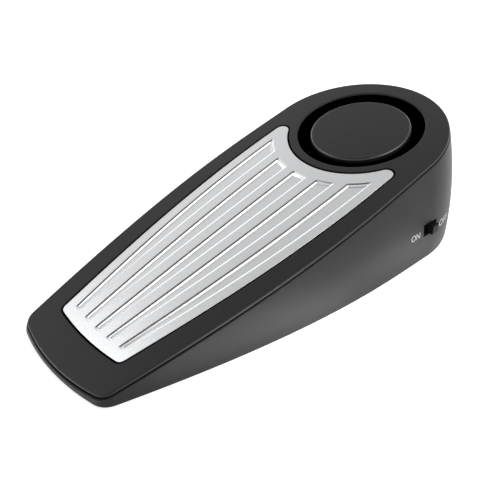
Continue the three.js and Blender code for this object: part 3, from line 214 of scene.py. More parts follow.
def gridFaces(rows, columns, closed):
    # quads between neighbouring rows and columns; closed carries each row round to its start
    i = np.arange(rows - 1)[:, None] * columns
    j = np.arange(columns if closed else columns - 1)[None, :]
    nextJ = (j + 1) % columns
    corners = [i + j, i + nextJ, i + columns + nextJ, i + columns + j]
    return np.stack([np.broadcast_to(c, (i.size, j.size)) for c in corners], -1).reshape(-1, 4)


def faceVectors(points, faces):
    # the cross product of a face's diagonals: its direction times twice its area
    a, b, c, d = points[faces[:, 0]], points[faces[:, 1]], points[faces[:, 2]], points[faces[:, -1]]
    if faces.shape[1] == 3:
        return np.cross(b - a, c - a)
    return np.cross(c - a, d - b)


def softNormals(points, faces):
    # each point's normal is the sum of its faces' area vectors
    vectors = faceVectors(points, faces)
    sums = np.zeros((len(points), 3))
    for corner in range(faces.shape[1]):
        for axis in range(3):
            sums[:, axis] += np.bincount(faces[:, corner], vectors[:, axis], len(points))
    size = np.linalg.norm(sums, axis=1)
    return sums / np.where(size > 0, size, 1)[:, None]


def gridPatch(points, closed=True, flip=False, keep=None):
    # points is rows x columns x 3; flip turns the faces over, and keep marks those that stay
    faces = gridFaces(*points.shape[:2], closed)
    if keep is not None:
        faces = faces[keep.ravel()]
    if flip:
        faces = faces[:, ::-1]
    flat = points.reshape(-1, 3)
    return flat, faces, softNormals(flat, faces)


def flatPatch(loops, up):
    # loops of 3-D points, the outline first and then its holes, filled with triangles that face up
    flat = np.concatenate(loops)
    faces = np.array(tessellate_polygon([[Vector(p) for p in loop] for loop in loops]))
    up = np.asarray(up, float)
    turned = faceVectors(flat, faces) @ up < 0
    faces[turned] = faces[turned][:, ::-1]
    return flat, faces, np.broadcast_to(up / np.linalg.norm(up), flat.shape)


def offsetRing(loop, normals, out, w):
    # a flat loop moved along its normals and set at a height over the slope
    return fromSlope(loop[:, 0] + out * normals[:, 0], loop[:, 1] + out * normals[:, 1], w)


def roundedEdge(loop, normals, radius, side, rows, topW=0.0):
    # rings through a quarter turn, from the face down to the wall: out by radius times one less the sine and
    # down by radius times one less the cosine; side is 1 where the face lies outside the loop and -1 inside
    turn = np.linspace(0, math.pi / 2, rows)
    outs, drops = side * radius * (1 - np.sin(turn)), radius * (1 - np.cos(turn))
    return np.stack([offsetRing(loop, normals, out, topW - drop) for out, drop in zip(outs, drops)])


def nextBand(rings, loop, normals, out, w):
    # a band from the last ring to a new one
    return np.stack([rings[-1], offsetRing(loop, normals, out, w)])


def turnedPatches(profile, count, creases=(), centre=(0, 0)):
    # a profile of (radius, w) points turned square to the slope about a centre in (u, v); creases are the
    # places in the profile at which a new patch begins
    profile = np.asarray(profile, float)
    angles = np.linspace(0, 2 * math.pi, count, endpoint=False)
    stops = [0, *creases, len(profile) - 1]
    patches = []
    for a, b in zip(stops, stops[1:]):
        part = profile[a:b + 1]
        radius = part[:, :1]
        u, v = centre[0] + radius * np.cos(angles), centre[1] + radius * np.sin(angles)
        patches.append(gridPatch(fromSlope(u, v, part[:, 1:])))
    return patches


def tubePatches(path, radius, sides, aside):
    # rings square to the path and a flat end on each side; aside is a way that the path never runs
    along = np.gradient(path, axis=0)
    along /= np.linalg.norm(along, axis=1)[:, None]
    across = np.cross(along, aside)
    across /= np.linalg.norm(across, axis=1)[:, None]
    other = np.cross(along, across)
    angles = np.linspace(0, 2 * math.pi, sides, endpoint=False)[None, :, None]
    rings = path[:, None] + radius * (np.cos(angles) * across[:, None] + np.sin(angles) * other[:, None])
    return [gridPatch(rings), flatPatch([rings[0]], -along[0]), flatPatch([rings[-1]], along[-1])]


def withoutRepeats(faces):
    # a quad with two corners on one point becomes a triangle, and a flatter one goes
    if faces.shape[1] == 3:
        distinct = (faces != np.roll(faces, 1, 1)).all(1)
        return faces[distinct], np.zeros((0, 3), int), distinct, []
    same = faces == np.roll(faces, -1, 1)
    whole = ~same.any(1)
    triangles, sources = [], []
    for corner in range(4):
        rows = np.flatnonzero((same.sum(1) == 1) & same[:, corner])
        kept = [k for k in range(4) if k != corner]
        triangles.append(faces[rows][:, kept])
        sources.append((rows, kept))
    return faces[whole], np.concatenate(triangles), whole, sources


def addObject(name, data):
    # a new object in the scene
    made = bpy.data.objects.new(name, data)
    bpy.context.scene.collection.objects.link(made)
    return made


def weldPoints(points, steps):
    # points that round to the same of so many steps to a unit are one: which ones stay, and where each goes
    keys = np.round(points * steps).astype(np.int64)
    _, first, weld = np.unique(keys, axis=0, return_index=True, return_inverse=True)
    return first, weld.ravel()


weldSteps = 1e4


def buildPiece(name, patches, body, materials, replaced=(), materialOf=None):
    # the patches' points are welded, and each face corner keeps its own patch's normal
    offsets = np.cumsum([0] + [len(p[0]) for p in patches])
    points = np.concatenate([p[0] for p in patches]) + frameShift
    normals = np.concatenate([p[2] for p in patches])
    first, weld = weldPoints(points, weldSteps)
    corners, cornerNormals, sizes, slots = [], [], [], []
    for index, (_, faces, _) in enumerate(patches):
        source = faces + offsets[index]
        welded = weld[source]
        whole, triangles, kept, parts = withoutRepeats(welded)
        groups = [(whole, source[kept])]
        if len(triangles):
            groups.append((triangles, np.concatenate([source[rows][:, k] for rows, k in parts])))
        for group, origin in groups:
            corners.append(group.ravel())
            cornerNormals.append(normals[origin.ravel()])
            sizes.append(np.full(len(group), group.shape[1]))
            slots.append(np.full(len(group), materialOf[index] if materialOf else 0))
    corners, sizes = np.concatenate(corners), np.concatenate(sizes)
    mesh = bpy.data.meshes.new(name)
    mesh.vertices.add(len(first))
    mesh.vertices.foreach_set("co", (points[first] * mm).ravel())
    mesh.loops.add(len(corners))
    mesh.loops.foreach_set("vertex_index", corners.astype(np.int32))
    mesh.polygons.add(len(sizes))
    mesh.polygons.foreach_set("loop_start", np.append(0, np.cumsum(sizes)[:-1]).astype(np.int32))
    mesh.polygons.foreach_set("material_index", np.concatenate(slots).astype(np.int32))
    mesh.update(calc_edges=True)
    mesh.normals_split_custom_set(np.concatenate(cornerNormals))
    piece = addObject(name, mesh)
    for material in materials:
        mesh.materials.append(material)
    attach(piece, body)
    if replaced:
        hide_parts(*replaced)
    print(name, len(mesh.vertices), "points,", int((sizes - 2).sum()), "triangles")
    return piece


# Materials

def linear(hexColour):
    # sRGB hex to linear light
    parts = np.array([int(hexColour[k:k + 2], 16) for k in (1, 3, 5)]) / 255
    lit = np.where(parts <= 0.04045, parts / 12.92, ((parts + 0.055) / 1.055) ** 2.4)
    return (*lit, 1)


def addNode(tree, kind, settings=None, **inputs):
    # a node with its settings; an input is a value or (node, output) to link from
    node = tree.nodes.new(kind)
    for key, value in (settings or {}).items():
        setattr(node, key, value)
    for key, value in inputs.items():
        socket = node.inputs[int(key[1:])] if key[1:].isdigit() else node.inputs[key.replace("_", " ")]
        if isinstance(value, tuple) and hasattr(value[0], "outputs"):
            tree.links.new(value[0].outputs[value[1]], socket)
        else:
            socket.default_value = value
    return node


def emptyTree(owner):
    # the node tree of a material or a world, emptied
    owner.use_nodes = True
    owner.node_tree.nodes.clear()
    return owner.node_tree


def newMaterial(name):
    # a material, its tree and the piece's own coordinates
    material = bpy.data.materials.new(name)
    tree = emptyTree(material)
    return material, tree, (addNode(tree, "ShaderNodeTexCoord"), "Object")


def grain(tree, place, spacing, detail=2.0, roughness=0.5):
    # noise whose bumps are about spacing millimetres apart
    return addNode(tree, "ShaderNodeTexNoise", Vector=place, Scale=1 / (spacing * mm), Detail=detail,
                   Roughness=roughness)


def spread(tree, source, low, high, band=(0.3, 0.7)):
    # a noise value's middle band stretched to run from low to high
    return addNode(tree, "ShaderNodeMapRange", i0=source, i1=band[0], i2=band[1], i3=low, i4=high)


def finishMaterial(tree, colour, roughness, height, depth, **shader):
    # bump from a height in millimetres, then the shader and the output
    bump = addNode(tree, "ShaderNodeBump", Height=height, Distance=depth * mm, Strength=1.0)
    surface = addNode(tree, "ShaderNodeBsdfPrincipled", Base_Color=colour, Roughness=roughness,
                      Normal=(bump, "Normal"), **shader)
    addNode(tree, "ShaderNodeOutputMaterial", Surface=(surface, "BSDF"))


def twoTone(tree, factor, first, second):
    # two colours mixed by a pattern
    return addNode(tree, "ShaderNodeMix", dict(data_type="RGBA"), i0=factor, i6=linear(first),
                   i7=linear(second))


cloudSize = dict(plastic=9.0, metal=14.0)  # millimetres from one faint cloud of tone to the next


def mouldedPlastic(name, colours, roughness, grainSize, grainDepth, sheen=0.35):
    # moulded plastic: the tool's spark texture breaks the sheen into fine specks, and the flow of the melt
    # leaves faint clouds
    material, tree, place = newMaterial(name)
    cloud = grain(tree, place, cloudSize["plastic"], detail=3.0)
    spark = grain(tree, place, grainSize, detail=3.0, roughness=0.65)
    colour = twoTone(tree, (cloud, 0), *colours)
    shine = spread(tree, (spark, 0), *roughness)
    finishMaterial(tree, (colour, 2), (shine, 0), (spark, 0), grainDepth, IOR=1.5, Specular_IOR_Level=sheen)
    return material


def bareMetal(name, colours, roughness, grainSize, grainDepth):
    # bare metal: the grain of its making breaks the reflection up, and a cloud shifts its tone a little
    material, tree, place = newMaterial(name)
    fine = grain(tree, place, grainSize, roughness=0.6)
    cloud = grain(tree, place, cloudSize["metal"])
    colour = twoTone(tree, (cloud, 0), *colours)
    shine = spread(tree, (fine, 0), *roughness)
    finishMaterial(tree, (colour, 2), (shine, 0), (fine, 0), grainDepth, Metallic=1.0)
    return material


wavePeriod = 2 * math.pi / 20  # how far apart the bands of Blender's wave texture are at scale 1


def woundWire(name, colours, roughness, pitch):
    # turns of lacquered wire side by side: a sine wave up the coil is both its ridges and its tone
    material, tree, place = newMaterial(name)
    turns = addNode(tree, "ShaderNodeTexWave", dict(bands_direction="Z"), Vector=place,
                    Scale=wavePeriod / (pitch * mm), Distortion=0.2)
    colour = twoTone(tree, (turns, 1), *colours)
    shine = spread(tree, (grain(tree, place, spacing=0.6), 0), *roughness)
    finishMaterial(tree, (colour, 2), (shine, 0), (turns, 1), depth=pitch / 3, IOR=1.55, Coat_Weight=0.4)
    return material


def printedBoard(name, mask, traces, roughness, pitch):
    # green mask over etched copper: the copper shows lighter and stands up a little through the mask
    material, tree, place = newMaterial(name)
    layout = dict(offset=0.35, squash=0.7, squash_frequency=3)
    pattern = addNode(tree, "ShaderNodeTexBrick", layout, Vector=place, Scale=1 / (pitch * mm),
                      Mortar_Size=0.06, Mortar_Smooth=0.1, Brick_Width=1.3, Row_Height=0.4)
    colour = twoTone(tree, (pattern, 1), mask, traces)
    shine = spread(tree, (grain(tree, place, spacing=1.1), 0), *roughness)
    finishMaterial(tree, (colour, 2), (shine, 0), (pattern, 1), depth=0.03, IOR=1.5)
    return material


# Each finish: its name, two colours, roughness from and to, the grain's size and depth in millimetres, and
# for a plastic its sheen; the winding and the board have a pitch instead of a grain.
# matte ABS off a spark-eroded mould: dark grey with an even, dull sheen
caseAbs = mouldedPlastic("spark_textured_abs", ("#1f1f20", "#232324"), (0.34, 0.46), 0.28, 0.008, 0.18)
# the same plastic where the cap's rim is rubbed smooth: a thin soft highlight runs along it
rimAbs = mouldedPlastic("rubbed_abs_rim", ("#1f1f20", "#232324"), (0.2, 0.28), 0.28, 0.003, 0.6)
# the same plastic along the cover's edge, rubbed less: the highlight stays faint there
edgeAbs = mouldedPlastic("handled_abs_edge", ("#1f1f20", "#232324"), (0.3, 0.38), 0.28, 0.005, 0.24)
# the same plastic off a plain tool, darker and a little glossier
innerAbs = mouldedPlastic("plain_moulded_abs", ("#0b0b0b", "#101010"), (0.34, 0.46), 0.9, 0.006)
# the siren's well inside: dull black that sends almost nothing back, painted shade so that only the rim shows
wellShadeBlack = mouldedPlastic("painted_shade_black_abs", ("#010101", "#020202"), (0.85, 0.95), 0.5, 0.006, 0.0)
# switch knob: smooth, and darker than the case as painted shade, so that it reads as a hole with a hint of an
# edge
shadeDarkKnob = mouldedPlastic("shade_darkened_acetal", ("#0a0a0b", "#0f0f10"), (0.4, 0.5), 0.8, 0.004, 0.1)
# the plate's cut edge: dull black painted as the gap's shade, which leaves a black line round the plate in
# the gap
gapShadeEdge = mouldedPlastic("painted_gap_shade_edge", ("#010101", "#020202"), (0.85, 0.95), 0.5, 0.004, 0.0)
# rolled aluminium, fine-blasted and clear-anodised: even silver with a tight sparkle
plateMetal = bareMetal("satin_anodised_aluminium", ("#cacbcc", "#d0d1d2"), (0.25, 0.35), 0.22, 0.004)
# zinc-plated steel: bright and slightly blue, smooth to the eye
zincSteel = bareMetal("zinc_plated_steel", ("#a6a8aa", "#b8babc"), (0.18, 0.3), 1.2, 0.002)
# cold-drawn spring wire: bright along its length
springSteel = bareMetal("drawn_spring_steel", ("#9c9da0", "#acadb0"), (0.2, 0.32), 0.5, 0.002)
# rolled brass sheet: warm, with a soft mill grain
rolledBrass = bareMetal("rolled_brass", ("#b8934a", "#cdaa5c"), (0.26, 0.4), 0.7, 0.003)
# moulded rubber: no gloss at all, a fine pebble
padRubber = mouldedPlastic("moulded_rubber", ("#151515", "#1c1c1c"), (0.78, 0.92), 0.5, 0.03, 0.25)
# lacquered copper wire under a thin varnish
coilWire = woundWire("lacquered_copper_winding", ("#3a2314", "#8a5426"), (0.25, 0.4), 0.3)
# solder mask: glossy green film with copper under it
boardMask = printedBoard("solder_masked_board", "#1a4a2b", "#2f7045", (0.25, 0.38), 4.5)
# shrunk vinyl sleeve: smooth and glossy, drawn tight
sleeveVinyl = mouldedPlastic("shrunk_vinyl_sleeve", ("#1c2840", "#22304a"), (0.22, 0.32), 1.5, 0.004, 0.5)
# red acetal, moulded small and smooth
redAcetal = mouldedPlastic("moulded_red_acetal", ("#b0302a", "#bc3a30"), (0.28, 0.38), 0.8, 0.004, 0.5)
# lacquered tin jacket of the battery: dark, smooth, faintly clouded
jacketTin = mouldedPlastic("lacquered_tin_jacket", ("#26282b", "#303236"), (0.2, 0.3), 2.2, 0.003, 0.6)
# extruded vinyl round the leads: a soft gloss with a fine drag
redVinyl = mouldedPlastic("red_vinyl_insulation", ("#a31d1d", "#b32424"), (0.3, 0.42), 0.7, 0.006, 0.5)
blackVinyl = mouldedPlastic("black_vinyl_insulation", ("#121212", "#181818"), (0.3, 0.42), 0.7, 0.006, 0.5)
# pad-printed white ink: flat and slightly chalky
whiteInk = mouldedPlastic("pad_printed_white_ink", ("#b4b4b4", "#c0c0c0"), (0.5, 0.65), 0.3, 0.004, 0.4)
print("materials ready")


# The outline of the case, dense, with a point at each end of the switch's slot
slot = dict(lowX=-7.4, highX=-1.1, lowZ=9.4, highZ=13.3, easeFront=4, easeRear=5)


def caseHalf():
    # the bowed front with its corner and side, then a quarter circle at the rear
    front, _ = bowedFront(wedge, (wedge["rearCentreX"], -wedge["rearRadius"]))
    rear = arc(wedge["rearCentreX"], 0, wedge["rearRadius"], -math.pi / 2, 0, wedge["rearPoints"])
    half = np.concatenate([front, rear[1:]])
    # the slot's ends, taken back to the outline under the flared wall
    normals = planeNormals(half, False)
    slotFlare = flare(faceZ(half[:, 0]) - (slot["lowZ"] + slot["highZ"]) / 2)
    outerX = half[:, 0] + slotFlare * normals[:, 0]
    rising = slice(np.argmin(outerX), None)
    knots = [float(np.interp(x, outerX[rising], half[rising, 0])) for x in (slot["lowX"], slot["highX"])]
    return half, knots


halfOutline, slotKnots = caseHalf()
stationCounts = (150, 8, 40)  # from the nose to the slot, along the slot, and on to the rear
caseLoop = mirroredLoop(spacedHalf(halfOutline, stationCounts, slotKnots, wedge["bendWeight"]))
caseNormals = planeNormals(caseLoop, True)
print("case outline", len(caseLoop), "stations")


# Main housing: the flared wall as a closed ring of skin, the slot left open, and the solid nose's slab
housing = dict(rimRound=0.22, bottomRound=0.6, above=14, slotRows=6, below=12, roundRows=6, lipRows=3,
               noseBack=-97.0, noseTop=2.0, noseInset=1.0, noseLift=0.02, noseColumns=9)


def housingWall():
    # a profile carried round the outline: out along the normal by the flare less an inset, down by a depth
    x, y = caseLoop.T
    nx, ny = caseNormals.T
    rimDepth = -wedge["seamW"] / math.cos(slope)
    bottomZ = wedge["footProud"]
    rimRound, bottomRound = housing["rimRound"], housing["bottomRound"]
    topZ = faceZ(x + flare(rimDepth) * nx) - rimDepth
    low, high = bottomZ + bottomRound, topZ - rimRound
    # row heights: shares of the wall that pass through the slot's two edges where the slot is
    near = np.clip(x, slot["lowX"] - slot["easeFront"], slot["highX"] + slot["easeRear"])
    nearHigh = faceZ(near) - rimDepth - rimRound
    upperShare = (nearHigh - slot["highZ"]) / (nearHigh - low)
    lowerShare = (nearHigh - slot["lowZ"]) / (nearHigh - low)
    bands = [(0, upperShare, housing["above"]), (upperShare, lowerShare, housing["slotRows"])]
    shares = [a + (b - a) * k / n for a, b, n in bands for k in range(n)]
    below = housing["below"]
    shares += [lowerShare + (1 - lowerShare) * k / below for k in range(below + 1)]
    shares = np.array(np.broadcast_arrays(*shares))
    wallZ = high - shares * (high - low)

    def ring(inset, z):
        out = flare(faceZ(x) - z) - inset
        return np.stack(np.broadcast_arrays(x + out * nx, y + out * ny, z), -1)

    turn = np.linspace(0, math.pi / 2, housing["roundRows"])[:, None]
    outer = ring(0, wallZ)
    foot = ring(bottomRound * (1 - np.cos(turn)), low - bottomRound * np.sin(turn))
    rim = ring(rimRound * (1 - np.cos(turn)), high + rimRound * np.sin(turn))[::-1]
    lip = np.linspace(bottomRound, wedge["wall"], housing["lipRows"])[:, None]
    bottom = ring(lip, np.full_like(x, bottomZ))
    top = ring(np.linspace(wedge["wall"], rimRound, housing["lipRows"])[:, None], topZ)
    inner = ring(wedge["wall"], np.concatenate([topZ[None], wallZ, np.full((1, len(x)), bottomZ)]))
    # faces over the slot are left out of both skins, and four strips line it
    first, last = stationCounts[0], stationCounts[0] + stationCounts[1]
    rowA, rowB = housing["above"], housing["above"] + housing["slotRows"]
    keepOuter = np.ones((len(outer) - 1, len(x)), bool)
    keepOuter[rowA:rowB, first:last] = False
    keepInner = np.ones((len(inner) - 1, len(x)), bool)
    keepInner[rowA + 1:rowB + 1, first:last] = False
    smooth = np.concatenate([rim[:-1], outer, foot[1:]])
    keepSmooth = np.ones((len(smooth) - 1, len(x)), bool)
    keepSmooth[len(rim) - 1:len(rim) - 1 + len(keepOuter)] = keepOuter
    patches = [gridPatch(smooth, flip=True, keep=keepSmooth), gridPatch(bottom, flip=True),
               gridPatch(inner, keep=keepInner), gridPatch(top, flip=True)]
    innerWall = inner[1:-1]
    edges = [
        (outer[rowA, first:last + 1], innerWall[rowA, first:last + 1]),
        (innerWall[rowB, first:last + 1], outer[rowB, first:last + 1]),
        (innerWall[rowA:rowB + 1, first], outer[rowA:rowB + 1, first]),
        (outer[rowA:rowB + 1, last], innerWall[rowA:rowB + 1, last]),
    ]
    patches += [gridPatch(np.stack(pair), closed=False, flip=True) for pair in edges]
    return patches


def noseSlab():
    # strips across the nose between the two walls' insides, a floor and a ceiling joined round the edge
    out = flare(faceZ(caseLoop[:, 0]) - wedge["footProud"]) - housing["noseInset"]
    half = (caseLoop + out[:, None] * caseNormals)[:stationCounts[0]]
    half = half[half[:, 0] < housing["noseBack"]]
    half = np.concatenate([half, [[housing["noseBack"], half[-1, 1]]]])
    across = np.linspace(-1, 1, housing["noseColumns"])
    flat = np.stack([half[:, :1] * np.ones(len(across)), -half[:, 1:] * across], -1)
    levels = (wedge["footProud"] + housing["noseLift"], housing["noseTop"])
    low, high = (np.concatenate([flat, np.full((*flat.shape[:2], 1), z)], -1) for z in levels)
    loop = np.concatenate([half, flat[-1, 1:-1], half[::-1] * [1, -1]])
    rim = np.stack([np.column_stack([loop, np.full(len(loop), z)]) for z in levels])
    return [gridPatch(low, closed=False), gridPatch(high, closed=False, flip=True),
            gridPatch(rim)]


buildPiece("housing_skin", housingWall() + noseSlab(), "case", [caseAbs], ["main_housing"])


# Pressure plate outline, in slope coordinates
plate = dict(
    drop=0.15, thickness=1.2, gap=0.6, front=-106.3, sagitta=1.1, frontHalf=13.8, corner=2.0, rearHalf=23.4,
    sideEndU=-18.0, arcRadius=23.3, hornRadius=2.2, sideShares=(0.163, 0.26, 0.444),
    cornerShares=(0.8, 1 / 12), flutes=5, margin=2.9, rib=3.05, frontMargin=3.2, rearMargin=4.4,
    frontRound=0.9, rearRound=0.9, depth=0.62, shoulder=0.2, bevelDegrees=16, bevelLength=0.5, knee=0.12,
    wallDegrees=60, foot=0.06, rearEase=0.34, easeSpan=(-13, 1), edgeRound=0.08,
)
# how finely the plate is drawn: rows and borders are millimetres in from a flute's end, and a triple is
# where rows begin and end and how many there are
plateMesh = dict(
    stations=210, bendWeight=5.0, curvePoints=800, edgeRows=6, before=0.05, after=0.04,
    between=(0.25, 0.5, 0.75), border=(0.6, 1.2), frontBorder=(-1.2, -0.6), frontRows=(-0.1, 1.5, 26),
    rearRows=(2.0, -0.1, 38), rearBorder=(-0.7, -1.4), middleRows=74, firstGuess=(-103, -27), rounds=12,
)


def plateHalf():
    # the bowed front with its corner and side, then a horn and half of the concave rear edge; the horn is an
    # arc tangent to both
    front, side = bowedFront(plate, (plate["sideEndU"], -plate["rearHalf"]))
    hornV = plate["rearHalf"] - plate["hornRadius"]
    away = plate["arcRadius"] + plate["hornRadius"]
    hornU = -math.sqrt(away ** 2 - hornV ** 2)
    meet = math.atan2(hornV, -hornU)
    horn = arc(hornU, -hornV, plate["hornRadius"], -math.pi / 2, meet)
    points = plateMesh["curvePoints"]
    rear = arc(0, 0, plate["arcRadius"], math.pi + meet, math.pi, points)
    return np.concatenate([front, horn, rear[1:]]), bezier(side, np.linspace(0, 1, points))


plateHalfPath, plateSidePath = plateHalf()
plateLoop = mirroredLoop(spacedHalf(plateHalfPath, (plateMesh["stations"],), (), plateMesh["bendWeight"]))
plateNormals = planeNormals(plateLoop, True)


def bend(fromTilt, toTilt, radius, count):
    # an arc that turns a profile from one tilt to another: it goes on by radius times the change of the sine
    # and down by radius times the change of the cosine
    turn = np.linspace(fromTilt, toTilt, count)
    return radius * np.stack([abs(np.sin(turn) - np.sin(fromTilt)), -abs(np.cos(turn) - np.cos(fromTilt))], 1)


def pressedProfile():
    # depth against the distance in from a flute's edge: a gentle bevel, then a steep wall, with every corner
    # rounded; and the distance at which the bevel ends
    bevel, wall = math.radians(plate["bevelDegrees"]), math.radians(plate["wallDegrees"])
    shoulder = bend(0, bevel, plate["shoulder"], count=2)
    bevelRun = plate["bevelLength"] * np.array([math.cos(bevel), -math.sin(bevel)])
    knee = shoulder[-1] + bevelRun + bend(bevel, wall, plate["knee"], count=3)
    foot = bend(wall, 0, plate["foot"], count=3)
    wallDrop = plate["depth"] + knee[-1, 1] + foot[-1, 1]
    foot = foot + knee[-1] + [wallDrop / math.tan(wall), -wallDrop]
    return np.concatenate([shoulder, knee, foot]), knee[0, 0]


pressed, bevelEnd = pressedProfile()
fluteRear = plate["arcRadius"] + plate["rearMargin"]


def fluteFront(v):
    # where the flutes begin: the plate's bowed front, moved back by the margin
    bow = bowRadius(plate)
    return plate["front"] + bow - np.sqrt(bow ** 2 - v ** 2) + plate["frontMargin"]


def fluteEdges():
    # (A, B) of each flute's two edges: an edge runs at A times the fluted half-width plus B
    k = np.arange(plate["flutes"])
    low = np.stack([-1 + 2 * k / plate["flutes"], k * plate["rib"] / plate["flutes"]], 1)
    high = low + [2 / plate["flutes"], -plate["rib"] * (plate["flutes"] - 1) / plate["flutes"]]
    return low, high


def fluteHeight(u, v, halfInner):
    # how deep the pressing is: the distance inside a rounded box, looked up on the pressed profile;
    # past the bevel the rear wall is drawn out into a gentle run, except in the flutes on the near side
    low, high = fluteEdges()
    lowV = low[:, 0, None, None] * halfInner + low[:, 1, None, None]
    highV = high[:, 0, None, None] * halfInner + high[:, 1, None, None]
    across = np.minimum(v - lowV, highV - v).max(0)
    front = u - fluteFront(v)
    rear = np.hypot(u, v) - fluteRear
    ease = np.interp(v, plate["easeSpan"], (1, plate["rearEase"]))
    rear = np.minimum(rear, bevelEnd) + ease * np.maximum(rear - bevelEnd, 0)
    along = np.minimum(front, rear)
    radius = np.where(front < rear, plate["frontRound"], plate["rearRound"])
    side, end = np.maximum(radius - across, 0), np.maximum(radius - along, 0)
    inside = np.where((side > 0) | (end > 0), radius - np.hypot(side, end), np.minimum(across, along))
    return np.interp(inside, pressed[:, 0], pressed[:, 1])


def plateGrid():
    # columns follow the flutes' edges with a fine cluster over each rolled wall, and rows follow the two end
    # curves; v hangs on the plate's width at u, and u on v, so the two are worked out in turn
    low, high = fluteEdges()
    cluster = np.concatenate([[-plateMesh["before"]], pressed[:, 0], [pressed[-1, 0] + plateMesh["after"]]])
    columns = []
    for k in range(plate["flutes"]):
        columns += [low[k] + [0, c] for c in cluster]
        nearSide, farSide = low[k] + [0, cluster[-1]], high[k] - [0, cluster[-1]]
        columns += [nearSide * (1 - s) + farSide * s for s in plateMesh["between"]]
        columns += [high[k] - [0, c] for c in cluster[::-1]]
        if k < plate["flutes"] - 1:
            columns += [high[k] * (1 - s) + low[k + 1] * s for s in plateMesh["between"]]
    near, far = plateMesh["border"]
    columns = np.array([low[0] - [0, far], low[0] - [0, near], *columns, high[-1] + [0, near],
                        high[-1] + [0, far]])
    frontRows = np.concatenate([plateMesh["frontBorder"], np.linspace(*plateMesh["frontRows"])])
    rearRows = np.concatenate([np.linspace(*plateMesh["rearRows"]), plateMesh["rearBorder"]])
    middle = np.linspace(0, 1, plateMesh["middleRows"])[1:-1]
    u = np.zeros((len(frontRows) + len(middle) + len(rearRows), len(columns)))
    u[:] = np.linspace(*plateMesh["firstGuess"], len(u))[:, None]
    for _ in range(plateMesh["rounds"]):
        halfWidth = np.interp(u, plateSidePath[:, 0], -plateSidePath[:, 1])
        halfInner = halfWidth - plate["margin"]
        v = columns[:, 0] * halfInner + columns[:, 1]
        front = fluteFront(v)
        nFront, nRear = len(frontRows), len(rearRows)
        u[:nFront] = front[:nFront] + frontRows[:, None]
        u[-nRear:] = -np.sqrt((fluteRear + rearRows[:, None]) ** 2 - v[-nRear:] ** 2)
        a = front[nFront:-nRear] + frontRows[-1]
        b = -np.sqrt((fluteRear + rearRows[0]) ** 2 - v[nFront:-nRear] ** 2)
        u[nFront:-nRear] = a + (b - a) * middle[:, None]
    return u, v, halfInner


def pressurePlatePatches():
    # the fluted field, a flat border out to the rounded edge, the cut side and the underside
    u, v, halfInner = plateGrid()
    w = -plate["drop"] + fluteHeight(u, v, halfInner)
    field = gridPatch(fromSlope(u, v, w), closed=False, flip=True)
    around = (np.concatenate([a[0, :-1], a[:-1, -1], a[-1, :0:-1], a[:0:-1, 0]]) for a in (u, v))
    border = fromSlope(*around, -plate["drop"])
    radius, rows, faceW = plate["edgeRound"], plateMesh["edgeRows"], -plate["drop"]
    edge = roundedEdge(plateLoop, plateNormals, radius, -1, rows, faceW)
    side = nextBand(edge, plateLoop, plateNormals, 0, faceW - plate["thickness"])
    return [field, flatPatch([edge[0], border], faceUp), gridPatch(edge, flip=True),
            gridPatch(side, flip=True), flatPatch([side[-1]], -faceUp)]


# the plate's cut side is painted black as the shade in the gap round the plate
buildPiece("fluted_plate", pressurePlatePatches(), "plate", [plateMetal, gapShadeEdge],
           ["pressure_plate"], [0, 0, 0, 1, 0])


# Siren cap: a shallow disc with a rounded rim, on three short legs
cap = dict(
    radius=15.96, drop=0.46, thickness=1.7, rimRound=0.7, footRound=0.3, rimRows=12, footRows=5, faceRows=4,
    sides=160, legRadius=1.3, legCircle=11.5, legs=3, legEndW=-4.0, legBevel=0.2, legSunk=0.2, legSides=24,
)


def capPatches():
    # the disc's profile turned about the siren's axis and a leg's about its own; the rim has its own finish
    radius, rimRound, footRound = cap["radius"], cap["rimRound"], cap["footRound"]
    top, under = -cap["drop"], -cap["drop"] - cap["thickness"]
    edge = [(radius - rimRound * (1 - math.cos(t)), top - rimRound * (1 - math.sin(t)))
            for t in np.linspace(math.pi / 2, 0, cap["rimRows"])]
    foot = [(radius - footRound * (1 - math.cos(t)), under + footRound * (1 - math.sin(t)))
            for t in np.linspace(0, math.pi / 2, cap["footRows"])]
    flat = [(r, top) for r in np.linspace(0, radius - rimRound, cap["faceRows"])[:-1]]
    rim = (len(flat), len(flat) + len(edge) - 1)
    patches = turnedPatches(flat + edge + foot + [(0, under)], cap["sides"], rim)
    legRadius, bevel, legEnd = cap["legRadius"], cap["legBevel"], cap["legEndW"]
    legStart = under + cap["legSunk"]
    leg = [(0, legStart), (legRadius, legStart), (legRadius, legEnd + bevel), (legRadius - bevel, legEnd),
           (0, legEnd)]
    for k in range(cap["legs"]):
        angle = (k + 0.5) / cap["legs"] * 2 * math.pi
        centre = cap["legCircle"] * np.array([math.cos(angle), math.sin(angle)])
        patches += turnedPatches(leg, cap["legSides"], (1, 2, 3), centre)
    finish = [0, 1] + [0] * (len(patches) - 2)
    return [(points, faces[:, ::-1], -normals) for points, faces, normals in patches], finish


capSurfaces, capFinish = capPatches()
buildPiece("siren_cap_disc", capSurfaces, "case", [caseAbs, rimAbs], ["siren_cap"], capFinish)


# Top cover: the flat face with its two openings, a rounded outer edge and rounded rims
cover = dict(edgeRound=0.45, openingRound=0.12, wellRadius=20.0, wellRound=0.45, wellDepth=4.0, wellWall=1.4,
             panelInset=2.1, panelW=-2.2, wellPoints=200, roundRows=8)


